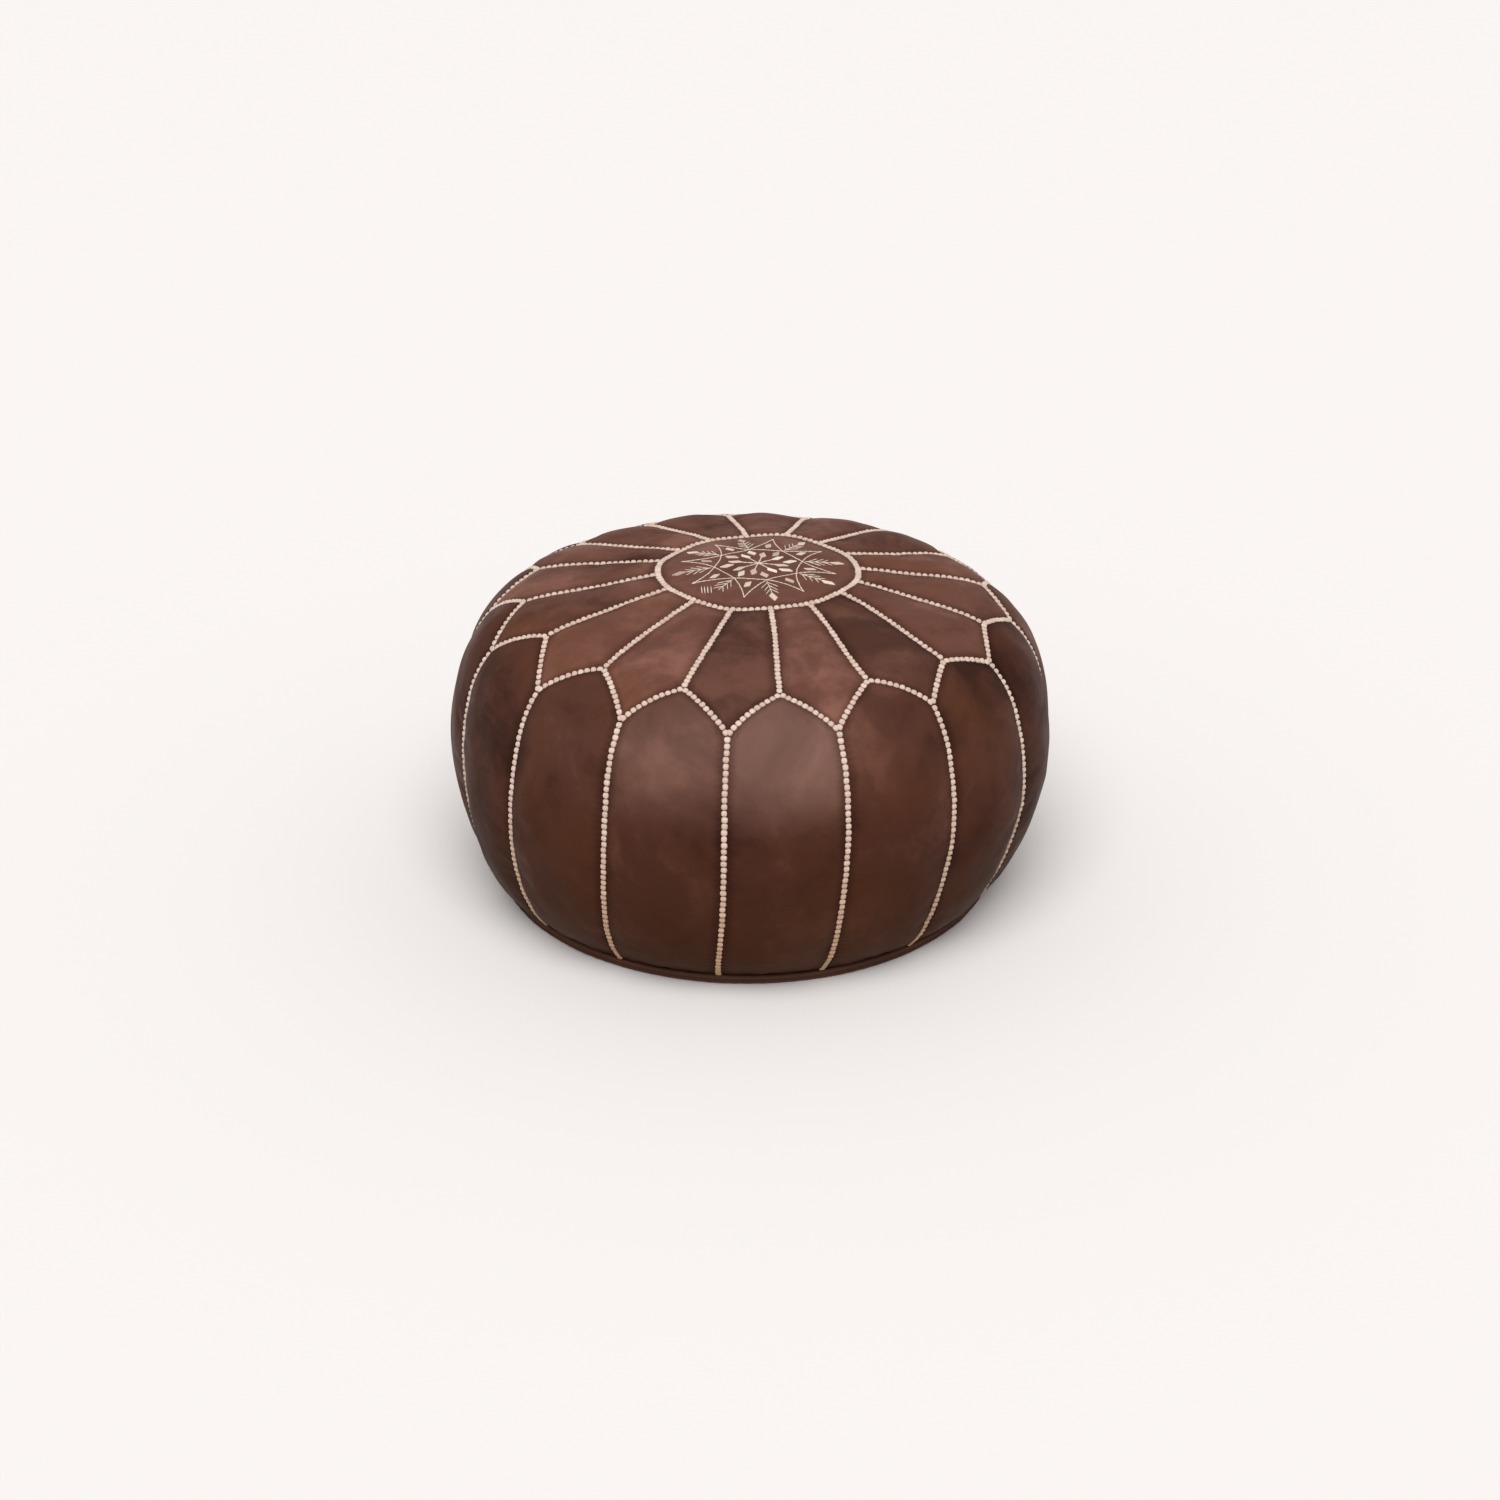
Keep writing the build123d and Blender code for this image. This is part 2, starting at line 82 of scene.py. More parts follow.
brim_fullness = 9 * mm    # the brim stands fuller at the two sides
foot_twist = math.radians(2.2)
foot_drawn_in = 7 * mm    # towards the front right, where the stuffing has slumped away
longer_spoke, shorter_tip = 10 * mm, 6 * mm    # the petals at the right were cut longer


def form_outline():
    """The stuffed form's outline, from its bottom edge to its top: distances, radii, heights, slopes."""
    widest_height, crown_rise, shoulder, side = 137 * mm, 25.3 * mm, 89 * mm, 247 * mm
    belly_turn, tuck_turn = math.radians(16), math.radians(50)
    side_turn = math.asin((top_height - crown_rise - shoulder - widest_height) / (side - shoulder))
    shoulder_x = widest_radius - side + (side - shoulder) * math.cos(side_turn)
    shoulder_z = widest_height + (side - shoulder) * math.sin(side_turn)
    crown_turn = 2 * math.atan(crown_rise / shoulder_x)
    crown = shoulder + shoulder_x / math.sin(crown_turn)
    tuck_in, drop = widest_radius - edge_radius, widest_height - edge_height
    belly_cos, belly_sin = math.cos(belly_turn), math.sin(belly_turn)
    tuck_cos, tuck_sin = math.cos(tuck_turn), math.sin(tuck_turn)
    tuck = (tuck_in * belly_sin - drop * (1 - belly_cos)) / (
        (belly_cos - tuck_cos) * belly_sin - (tuck_sin - belly_sin) * (1 - belly_cos))
    belly = (drop - tuck * (tuck_sin - belly_sin)) / belly_sin
    quarter = math.pi / 2
    arcs = (
        (widest_radius - belly + (belly - tuck) * belly_cos,
         widest_height - (belly - tuck) * belly_sin, tuck, -tuck_turn, -belly_turn),
        (widest_radius - belly, widest_height, belly, -belly_turn, 0),
        (widest_radius - side, widest_height, side, 0, side_turn),
        (shoulder_x, shoulder_z, shoulder, side_turn, quarter - crown_turn),
        (0, top_height - crown, crown, quarter - crown_turn, quarter),
    )
    rows = []
    for centre_x, centre_z, radius, start, end in arcs:
        for turn in np.linspace(start, end, 80):
            reach = radius - seam_inset
            rows.append((centre_x + reach * math.cos(turn), centre_z + reach * math.sin(turn), turn))
    radii, heights, slopes = np.array(rows).T
    steps = np.hypot(np.diff(radii), np.diff(heights))
    return np.concatenate(([0], np.cumsum(steps))), radii, heights, slopes


DISTANCES, RADII, HEIGHTS, SLOPES = form_outline()
UPPER = RADII.argmax()


def along_at(radius):
    """Distance up the outline at which its upper half has this radius."""
    return np.interp(-radius, -RADII[UPPER:], DISTANCES[UPPER:])


def drawn_in(places):
    """Points of the foot, which is drawn in a little at the front right."""
    radius = np.hypot(places[..., 0], places[..., 1])
    turn = np.arctan2(places[..., 1], places[..., 0])
    rise = np.clip(1 - places[..., 2] / (120 * mm), 0, 1)
    rim = np.clip((radius - 180 * mm) / (45 * mm), 0, 1)
    inwards = foot_drawn_in * np.exp(-((turn + math.radians(30)) / math.radians(48)) ** 2)
    inwards = inwards * rise ** 0.7 * rim * rim * (3 - 2 * rim)
    inwards = inwards / np.maximum(radius, mm)
    return places * np.stack((1 - inwards, 1 - inwards, np.ones_like(inwards)), axis=-1)


def on_form(turn, along, lift=0.0):
    """Points of the stuffed form, which is a little uneven, as hand-packed stuffing leaves it."""
    turn, along = np.asarray(turn, float), np.asarray(along, float)
    turn = turn - foot_twist * np.clip(1 - along / (170 * mm), 0, 1) ** 1.5
    radius = np.interp(along, DISTANCES, RADII)
    height = np.interp(along, DISTANCES, HEIGHTS)
    slope = np.interp(along, DISTANCES, SLOPES)
    free = np.clip(along / (40 * mm), 0, 1)    # the bottom edge stays round, on its welt
    top_free = np.clip(radius / ring_radius, 0, 1)
    lumps = 1.3 * np.sin(3 * turn + 0.7 + 9 * along) + 0.8 * np.sin(7 * turn + 2.1 - 21 * along)
    lift = lift + lumps * mm * free * top_free + seam_inset * (1 - free)
    brim = np.exp(-((radius - 195 * mm) / (45 * mm)) ** 2) * np.clip(np.sin(slope), 0, 1) ** 0.5
    fuller = 0.5 + 0.1 * np.sin(turn) + 0.4 * np.cos(2 * turn)
    lift = lift + brim_fullness * brim * fuller
    radius = radius + lift * np.cos(slope)
    height = height + lift * np.sin(slope)
    hem = np.clip(1 - along / (5 * mm), 0, 1)    # turned under, against the welt
    radius, height = radius - 2.4 * mm * hem ** 2, height - 1.2 * mm * hem
    wander = 0.30 * np.sin(5 * turn + 1.3 + 24 * along) + 0.22 * np.sin(11 * turn + 4.0 - 33 * along)
    turn = turn + np.radians(wander) * free
    settled = np.clip((spoke_end_radius - radius) / (spoke_end_radius - ring_radius), 0, 1)
    settled = settled ** 2 * (3 - 2 * settled)
    back = radius * np.sin(turn)
    return drawn_in(np.stack((
        radius * np.cos(turn) + crown_shift[0] * settled, back + crown_shift[1] * settled,
        height - crown_tilt * back * settled), axis=-1))


def form_normal(turn, along):
    """Outward normals of the stuffed form."""
    slope = np.interp(along, DISTANCES, SLOPES)
    flat = np.cos(slope)
    return np.stack((flat * np.cos(turn), flat * np.sin(turn), np.sin(slope)), axis=-1)


def seam_ends(turn):
    """Plan radii of the spoke's end and the scallop's tip; the petals on one side were cut longer."""
    from_side = np.abs((turn + math.pi) % (2 * math.pi) - math.pi)
    longer = np.clip((math.radians(62) - from_side) / math.radians(18), 0, 1)
    longer = longer * longer * (3 - 2 * longer)
    return spoke_end_radius + longer_spoke * longer, tip_radius - shorter_tip * longer


def scallop_radius(turn):
    """Plan radius of the scalloped seam: near the centre at a spoke, far out at a side seam."""
    half = STEP / 2
    past_spoke = (turn - FRONT + half) % STEP - half
    from_spoke = np.abs(past_spoke)
    spoke_end = seam_ends(turn - past_spoke)[0]
    tip = seam_ends(turn - past_spoke + half * np.where(past_spoke < 0, -1, 1))[1]
    chord = spoke_end * tip * math.sin(half) / (
        spoke_end * np.sin(from_spoke) + tip * np.sin(half - from_spoke))
    share = from_spoke / half
    return chord - scallop_bow * 4 * share * (1 - share)


def gridded_sheet(name, columns, rows):
    """A flat unit sheet of small squares, to be laid on a form."""
    bpy.ops.object.select_all(action="DESELECT")
    bpy.ops.mesh.primitive_grid_add(x_subdivisions=columns, y_subdivisions=rows, size=1)
    sheet = bpy.context.object
    sheet.name = name
    return sheet


def close_sheet(reach):
    """Joins the active sheet where its ends meet, and turns its faces outwards."""
    bpy.ops.object.mode_set(mode="EDIT")
    bpy.ops.mesh.select_all(action="SELECT")
    bpy.ops.mesh.remove_doubles(threshold=reach)
    bpy.ops.mesh.normals_make_consistent(inside=False)
    bpy.ops.object.mode_set(mode="OBJECT")


def thicken(sheet):
    """Gives the active sheet the leather's thickness, inwards."""
    thickness = sheet.modifiers.new("thickness", "SOLIDIFY")
    thickness.thickness, thickness.offset = leather_thickness, -1
    bpy.ops.object.modifier_apply(modifier="thickness")


def vertex_places(mesh):
    """The vertices' places, as an array."""
    places = np.zeros(len(mesh.vertices) * 3)
    mesh.vertices.foreach_get("co", places)
    return places.reshape(-1, 3)


def attribute_values(mesh, name):
    """One number for each vertex, from an attribute of the mesh."""
    values = np.zeros(len(mesh.vertices))
    mesh.attributes[name].data.foreach_get("value", values)
    return values


def set_attributes(mesh, **values):
    """Keeps one number for each vertex under each name; the materials read them."""
    for name, numbers in values.items():
        mesh.attributes.new(name, "FLOAT", "POINT").data.foreach_set("value", numbers)


columns_each, petal_rows, side_rows = 24, 28, 58
columns, rows = PANELS * columns_each, petal_rows + side_rows
cover = gridded_sheet("leather_cover", columns, rows)
mesh = cover.data
flat = vertex_places(mesh)
column = np.rint((flat[:, 0] + 0.5) * columns)
row = np.rint((0.5 - flat[:, 1]) * rows)
turn = FRONT + column / columns_each * STEP
ring_along, scallop_along = along_at(ring_radius), along_at(scallop_radius(turn))
is_petal = row <= petal_rows
share = np.where(is_petal, row / petal_rows, (row - petal_rows) / side_rows)
along = np.where(is_petal, ring_along + (scallop_along - ring_along) * share, scallop_along * (1 - share))

# how far each point lies from its seams, which the swelling and the painted shade along the seams both follow
column_share = np.where(is_petal, column, column + columns_each / 2) / columns_each % 1
plan_radius = np.interp(along, DISTANCES, RADII)
seam_across = np.minimum(column_share, 1 - column_share) * STEP * plan_radius
panel_length = np.where(is_petal, ring_along - scallop_along, scallop_along)
seam_along = np.minimum(share, 1 - share) * panel_length
seam_distance = np.minimum(seam_across, seam_along)
panel_number = np.where(is_petal, column // columns_each, (column + columns_each / 2) // columns_each)
panel_number = panel_number % PANELS + np.where(is_petal, 0, PANELS)
swell_each = np.array([random.Random(n).uniform(0.8, 1.2) for n in range(2 * PANELS)])
swell = np.where(is_petal, 2.6 * mm, 3.6 * mm) * swell_each[panel_number.astype(int)]
across_arch = (4 * column_share * (1 - column_share)) ** 0.55
along_arch = (4 * share * (1 - share)) ** 0.45
stuffing_lumps = 0.7 * mm * np.sin(31 * turn + 40 * along) * np.sin(55 * along + 9 * turn + panel_number)
lift = (swell + stuffing_lumps) * across_arch * along_arch
shaped = on_form(turn, along, lift)
mesh.vertices.foreach_set("co", shaped.ravel())
seam_run = np.where(seam_across < seam_along, along, turn * plan_radius)    # place along the nearest seam
set_attributes(mesh, seam_distance=seam_distance, seam_run=seam_run, column=column, row=row)
close_sheet(0.01 * mm)
mesh = cover.data

# the stuffing presses the leather out while the seams hold it
held = cover.vertex_groups.new(name="seams")
sewn = np.flatnonzero(attribute_values(mesh, "seam_distance") < 0.01 * mm)
held.add([int(n) for n in sewn], 1.0, "REPLACE")
before = vertex_places(mesh)
cloth = cover.modifiers.new("stuffing", "CLOTH")
settings = cloth.settings
settings.quality = 4
settings.mass = 0.4
settings.tension_stiffness = 40
settings.compression_stiffness = 12
settings.shear_stiffness = 10
settings.bending_stiffness = 0.8
settings.use_pressure = True
settings.uniform_pressure_force = 5
settings.shrink_min = -0.012
settings.vertex_group_mass = "seams"
settings.effector_weights.gravity = 0
cloth.collision_settings.use_collision = False
cloth.point_cache.frame_end = 24
for frame_number in range(1, 21):
    bpy.context.scene.frame_set(frame_number)
bpy.ops.object.modifier_apply(modifier="stuffing")
bpy.context.scene.frame_set(1)
mesh = cover.data
after = vertex_places(mesh)
moved = after - before
distance = np.linalg.norm(moved, axis=1, keepdims=True)
print("cover moved, mm: mean", round(distance.mean() / mm, 2), "most", round(distance.max() / mm, 2))
most_moved = 4 * mm
after = before + moved * np.minimum(1, most_moved / np.maximum(distance, 1e-9))
mesh.vertices.foreach_set("co", after.ravel())
mesh.update()


def linear(hex_colour):
    """An sRGB hex value as the linear colour that shaders take."""
    channels = [int(hex_colour[n:n + 2], 16) / 255 for n in (1, 3, 5)]
    return [c / 12.92 if c <= 0.04045 else ((c + 0.055) / 1.055) ** 2.4 for c in channels] + [1]


def set_inputs(tree, node, inputs):
    """Sets a node's inputs, each to a value or to a (node, output) pair, which is linked to it."""
    for name, value in inputs.items():
        if isinstance(value, tuple) and isinstance(value[0], bpy.types.Node):
            tree.links.new(value[0].outputs[value[1]], node.inputs[name])
        else:
            node.inputs[name].default_value = value


def add_node(tree, kind, settings=None, inputs=None):
    """Adds a node with its settings and inputs."""
    node = tree.nodes.new(kind)
    for name, value in (settings or {}).items():
        setattr(node, name, value)
    set_inputs(tree, node, inputs or {})
    return node


def object_place(tree):
    """The place on the object that a texture is read at."""
    return (add_node(tree, "ShaderNodeTexCoord"), "Object")


def attribute(tree, name):
    """A number that the mesh keeps for each vertex."""
    return (add_node(tree, "ShaderNodeAttribute", {"attribute_name": name}), "Fac")


def noise(tree, place, size, detail, roughness=0.5, distortion=0.0):
    """Cloudy noise with features of a given size."""
    return (add_node(tree, "ShaderNodeTexNoise", inputs={
        "Vector": place, "Scale": 1 / size, "Detail": detail, "Roughness": roughness,
        "Distortion": distortion}), "Fac")


def maths(tree, operation, *values):
    """The result of a sum on values or outputs."""
    return (add_node(tree, "ShaderNodeMath", {"operation": operation}, dict(enumerate(values))), 0)


def ranged(tree, value, low, high, to_low=0.0, to_high=1.0, kind="LINEAR"):
    """A value carried from one range to another."""
    return (add_node(tree, "ShaderNodeMapRange", {"interpolation_type": kind}, {
        "Value": value, 1: low, 2: high, 3: to_low, 4: to_high}), 0)


def mixed(tree, share, first, second, blend="MIX"):
    """A second colour laid over a first by a share."""
    return (add_node(tree, "ShaderNodeMix", {"data_type": "RGBA", "blend_type": blend}, {
        "Factor": share, 6: first, 7: second}), 2)


def bumped(tree, height, strength, depth, over=None):
    """Relief from a height, over another relief if there is one."""
    inputs = {"Height": height, "Strength": strength, "Distance": depth}
    if over:
        inputs["Normal"] = over
    return (add_node(tree, "ShaderNodeBump", inputs=inputs), "Normal")


def new_material(name):
    """A named material with its Principled shader."""
    material = bpy.data.materials.new(name)
    material.use_nodes = True
    return material, material.node_tree, material.node_tree.nodes["Principled BSDF"]


def colour_ramp(tree, factor, stops):
    """A ramp through hex colours, each at its place."""
    ramp = add_node(tree, "ShaderNodeValToRGB", inputs={"Fac": factor})
    ramp.color_ramp.interpolation = "EASE"
    while len(ramp.color_ramp.elements) < len(stops):
        ramp.color_ramp.elements.new(0.5)
    for element, (place, colour) in zip(ramp.color_ramp.elements, stops):
        element.position = place
        element.color = linear(colour)
    return (ramp, "Color")


def dyed_goat_leather(name, tones, stain, low_shade_colour, highlight_colour):
    """Vegetable-tanned goat leather, dyed by hand: cloudy browns, fine grain, a low polish, with painted
    shade low down and along the seams and a painted highlight over the shoulders and top.
    """
    material, tree, shader = new_material(name)
    place = object_place(tree)
    tone, wear = attribute(tree, "tone"), attribute(tree, "wear")
    seam, seam_run = attribute(tree, "seam_distance"), attribute(tree, "seam_run")
    clouds = noise(tree, place, 70 * mm, 5, 0.55, 0.5)
    mottle = noise(tree, place, 15 * mm, 6, 0.66, 0.4)
    cloudy = maths(tree, "MULTIPLY_ADD", mottle, 0.3, clouds)
    browns = colour_ramp(tree, ranged(tree, maths(tree, "ADD", cloudy, tone), 0.35, 0.95), tones)

    # the dye is yellower in patches; towards the floor the colour is darker and warmer, which is painted
    # shade with a warmer tone
    patchy = ranged(tree, noise(tree, place, 105 * mm, 3), 0.48, 0.70, 0.0, 0.42)
    stained = mixed(tree, patchy, browns, linear(stain))
    height = (add_node(tree, "ShaderNodeSeparateXYZ", inputs={"Vector": place}), "Z")
    low = ranged(tree, height, 190 * mm, 15 * mm, 0.0, 0.88)
    shaded_low = mixed(tree, low, stained, linear(low_shade_colour))
    # painted highlight: the colour is paler round the shoulder and over the top, where the light falls, by
    # each panel's share
    highlight_band = ranged(tree, height, 150 * mm, 225 * mm, 0.0, 0.68, "SMOOTHSTEP")
    highlight_marks = maths(tree, "MULTIPLY", highlight_band, maths(tree, "MULTIPLY", wear, clouds))
    highlighted = mixed(tree, highlight_marks, shaded_low, linear(highlight_colour))
    # painted shade: the colour darkens along the seams, between the panels
    seam_shade = ranged(tree, seam, 0.0, 12 * mm, 0.62, 0.0, "SMOOTHSTEP")
    seam_shaded = mixed(tree, seam_shade, highlighted, linear("#8A6A5C"), "MULTIPLY")

    # a low polish, duller where the dye is thick
    polish = ranged(tree, cloudy, 0.4, 0.9, 0.60, 0.42)

    # puckers between the stitches, creases where the leather was rubbed and folded, then its grain
    waves = maths(tree, "SINE", maths(tree, "MULTIPLY", seam_run, 2 * math.pi / stitch_pitch))
    near_seam = ranged(tree, seam, 2 * mm, 13 * mm, 1.0, 0.0, "SMOOTHSTEP")
    puckers = bumped(tree, maths(tree, "MULTIPLY", waves, near_seam), 0.45, 0.5 * mm)
    ridges = add_node(tree, "ShaderNodeTexNoise", {"noise_type": "RIDGED_MULTIFRACTAL"}, {
        "Vector": place, "Scale": 1 / (30 * mm), "Detail": 4, "Roughness": 0.5, "Distortion": 1.4})
    creases = bumped(tree, (ridges, "Fac"), 0.30, 1.0 * mm, puckers)
    cells = add_node(tree, "ShaderNodeTexVoronoi", {"feature": "SMOOTH_F1"}, {
        "Vector": place, "Scale": 1 / (1.7 * mm), "Smoothness": 0.6})
    grain = bumped(tree, (cells, "Distance"), 0.35, 0.35 * mm, creases)
    set_inputs(tree, shader, {"Base Color": seam_shaded, "Roughness": polish, "IOR": 1.48,
                              "Specular IOR Level": 0.05, "Normal": grain})
    return material


# the last two colours of each finish are the darker, warmer colour towards the floor, which is painted shade,
# and the colour of the painted highlight
petal_finish = dyed_goat_leather(
    "hand-dyed goat leather, petals",
    ((0.0, "#3B211A"), (0.5, "#5E3B31"), (1.0, "#80574B")), "#6B4026", "#4A2A18", "#7E5B50")
side_finish = dyed_goat_leather(
    "hand-dyed goat leather, sides",
    ((0.0, "#2E1811"), (0.5, "#482920"), (1.0, "#653F33")), "#553018", "#3A1F0C", "#96756B")

# cut the cover into its panels
mesh = cover.data
vertex_columns, vertex_rows = attribute_values(mesh, "column"), attribute_values(mesh, "row")
regions = []
for face in mesh.polygons:
    face_row = min(vertex_rows[n] for n in face.vertices)
    face_column = min(vertex_columns[n] for n in face.vertices)
    if max(vertex_columns[n] for n in face.vertices) - face_column > columns / 2:
        face_column = columns - 1
    if face_row < petal_rows:
        regions.append(int(face_column // columns_each))
    else:
        regions.append(int((face_column + columns_each / 2) // columns_each) % PANELS + PANELS)
for n in range(2 * PANELS):
    mesh.materials.append(bpy.data.materials.new(f"region_{n:02d}"))
mesh.polygons.foreach_set("material_index", regions)
bpy.ops.object.select_all(action="DESELECT")
cover.select_set(True)
bpy.context.view_layer.objects.active = cover
bpy.ops.object.mode_set(mode="EDIT")
bpy.ops.mesh.select_all(action="SELECT")
bpy.ops.mesh.separate(type="MATERIAL")
bpy.ops.object.mode_set(mode="OBJECT")

# the hides differ: pale and dark ones stand side by side, counted from the front towards +X; side panels 3
# and 4, at the right edge of the view, are set darker as painted shade. A painted highlight lies over the
# shoulders and top, stronger on some side panels
PETAL_TONES = (0.06, -0.22, 0.02, -0.06, 0.06, -0.05, 0.04, 0.0, -0.05, 0.05, -0.04, 0.0, -0.10, 0.03, 0.12,
               -0.20)
SIDE_TONES_AND_SHADE = (0.0, 0.04, -0.12, -0.14, 0.05, -0.06, 0.04, -0.02, 0.06, -0.08, 0.02, 0.05, -0.02, -0.08, -0.06,
              0.04)
PETAL_HIGHLIGHT = 0.45
SIDE_HIGHLIGHT = (1.0, 0.15, 0.1, 0.0, 0.3, 0.6, 0.1, 0.4, 0.0, 0.5, 0.2, 0.1, 0.0, 0.1, 0.15, 0.65)
for panel in list(bpy.context.selected_objects):
    region = int(panel.data.materials[0].name.split("_")[1])
    number = region % PANELS + 1
    is_side = region >= PANELS
    panel.name = f"side_leather_{number:02d}" if is_side else f"petal_leather_{number:02d}"
    panel.data.materials.clear()
    panel.data.materials.append(side_finish if is_side else petal_finish)
    tone = (SIDE_TONES_AND_SHADE if is_side else PETAL_TONES)[number - 1]
    wear = SIDE_HIGHLIGHT[number - 1] if is_side else PETAL_HIGHLIGHT
    vertex_count = len(panel.data.vertices)
    set_attributes(panel.data, tone=np.full(vertex_count, tone), wear=np.full(vertex_count, wear))
    bpy.context.view_layer.objects.active = panel
    thicken(panel)
    smooth = panel.modifiers.new("smooth", "SUBSURF")
    smooth.levels = smooth.render_levels = 1
    bpy.ops.object.modifier_apply(modifier="smooth")
    panel.data.polygons.foreach_set("use_smooth", [True] * len(panel.data.polygons))
    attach(panel, "root")
    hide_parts(f"side_panel_{number:02d}" if is_side else f"petal_{number:02d}")

# ================= medallion =================
# One round piece of the same leather, 182 mm across, that closes the middle of the top. It is sewn to
# the petals' points round its edge, and lies slightly domed over the stuffing.
def medallion_puff(share, turn):
    """How far the medallion stands off the form, at a share of its radius."""
    return 2.6 * mm * (1 - share ** 4) + 0.4 * mm * np.sin(3 * turn + 1) * share * (1 - share) * 4


disc = gridded_sheet("medallion_leather", 128, 22)
flat = vertex_places(disc.data)
turn = (flat[:, 0] + 0.5) * 2 * math.pi
share = 0.5 - flat[:, 1]
plan_radius = share * ring_radius
from_edge = ring_radius - plan_radius
shaped = on_form(turn, along_at(plan_radius), medallion_puff(share, turn))
disc.data.vertices.foreach_set("co", shaped.ravel())
# painted shade darkens the medallion's rim along its seam, and it takes half of the painted highlight
set_attributes(disc.data, seam_distance=from_edge, seam_run=turn * ring_radius,
               tone=np.full(len(turn), 0.05), wear=np.full(len(turn), 0.5))
close_sheet(0.02 * mm)
thicken(disc)
bpy.ops.object.shade_smooth()
disc.data.materials.append(petal_finish)
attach(disc, "root")
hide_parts("medallion")


# ================= seam stitching =================
# Every seam is covered by a raised row of thick cream thread: each stitch is a plump pad of strands
# wrapped across the seam, 5 mm wide, with a shallow dent along its middle. The rows run up the side
# seams, round the scallops, along the spokes and round the medallion.
stitch_length, stitch_width, stitch_rise = 5.3 * mm, 5.3 * mm, 2.2 * mm
strand_width = 1.1 * mm    # real strands are near 0.4 mm, too fine to show, so they are drawn coarser

bpy.ops.object.select_all(action="DESELECT")
bpy.ops.mesh.primitive_grid_add(x_subdivisions=4, y_subdivisions=6, size=1)
pad = bpy.context.object
bpy.ops.object.mode_set(mode="EDIT")
bpy.ops.mesh.select_all(action="SELECT")
bpy.ops.mesh.extrude_region_move(TRANSFORM_OT_translate={"value": (0, 0, 1)})
bpy.ops.mesh.select_all(action="SELECT")
bpy.ops.mesh.normals_make_consistent(inside=False)
bpy.ops.object.mode_set(mode="OBJECT")
for vertex in pad.data.vertices:
    x, y, z = vertex.co
    along_pad, across_pad = min(1, abs(2 * x)), min(1, abs(2 * y))
    plump = (1 - 0.72 * along_pad ** 3) * (1 - 0.62 * across_pad ** 4)
    dent = 0.30 * max(0.0, 1 - across_pad / 0.34)
    corner = 1 - 0.20 * (along_pad * across_pad) ** 2
    bowed = 0.10 * (0.25 - y * y)    # each stitch is pulled a little towards the next
    vertex.co = (x * corner + bowed, y * corner, plump * (1 - dent) if z > 0.5 else -0.1)
pad_places = vertex_places(pad.data)
pad_places = pad_places * (stitch_length, stitch_width, stitch_rise)
pad_faces = [tuple(face.vertices) for face in pad.data.polygons]
bpy.data.objects.remove(pad)


def laid_thread(name, places, faces, spots):
    """One object of many copies of a small shape, each turned to its own frame and scaled."""
    counts = len(places)
    all_places, all_faces, strands, shades = [], [], [], []
    for index, (centre, forward, across, outward, scale, shade) in enumerate(spots):
        scaled = places * scale
        all_places.append(centre + scaled @ np.stack((forward, across, outward)))
        all_faces += [tuple(n + index * counts for n in face) for face in faces]
        strands.append(scaled[:, :2])
        shades.append(np.full(counts, shade))
    mesh = bpy.data.meshes.new(name)
    mesh.from_pydata(np.concatenate(all_places).tolist(), [], all_faces)
    piece = bpy.data.objects.new(name, mesh)
    bpy.context.scene.collection.objects.link(piece)
    layer = mesh.uv_layers.new(name="strands")
    flat_strands = np.concatenate(strands)
    corners = np.zeros(len(mesh.loops), int)
    mesh.loops.foreach_get("vertex_index", corners)
    layer.data.foreach_set("uv", flat_strands[corners].ravel())
    shade_layer = mesh.attributes.new("shade", "FLOAT", "POINT")
    shade_layer.data.foreach_set("value", np.concatenate(shades))
    mesh.polygons.foreach_set("use_smooth", [True] * len(mesh.polygons))
    return piece


def unit(vectors):
    """Vectors scaled to length one."""
    return vectors / np.linalg.norm(vectors, axis=-1, keepdims=True)


stitching = random.Random(21)


def seam_row(turns, alongs, margin=0.0, pitch_wanted=stitch_pitch):
    """Places of the stitches along a seam, from the angles and outline distances that it passes."""
    line = on_form(turns, alongs)
    outs = form_normal(turns, alongs)
    run = np.concatenate(([0], np.cumsum(np.linalg.norm(np.diff(line, axis=0), axis=1))))
    usable = run[-1] - 2 * margin
    count = max(1, round(usable / pitch_wanted))
    pitch = usable / count
    spots = []
    for n in range(count):
        middle = margin + (n + 0.5) * pitch
        ends = [middle - pitch / 2, middle + pitch / 2]
        start, end = (np.array([np.interp(e, run, line[:, a]) for a in range(3)]) for e in ends)
        centre = np.array([np.interp(middle, run, line[:, a]) for a in range(3)])
        outward = unit(np.array([np.interp(middle, run, outs[:, a]) for a in range(3)]))
        forward = unit(end - start)
        across = unit(np.cross(outward, forward))
        forward = np.cross(across, outward)
        skew = stitching.uniform(-0.10, 0.10)
        forward, across = forward + across * skew, across - forward * skew
        sideways = across * stitching.uniform(-0.25, 0.25) * mm
        size = np.array([pitch / stitch_pitch * stitching.uniform(0.95, 1.05),
                         stitching.uniform(0.92, 1.06), stitching.uniform(0.88, 1.08)])
        spots.append((centre + sideways, forward, across, outward, size, stitching.uniform(0, 1)))
    return spots


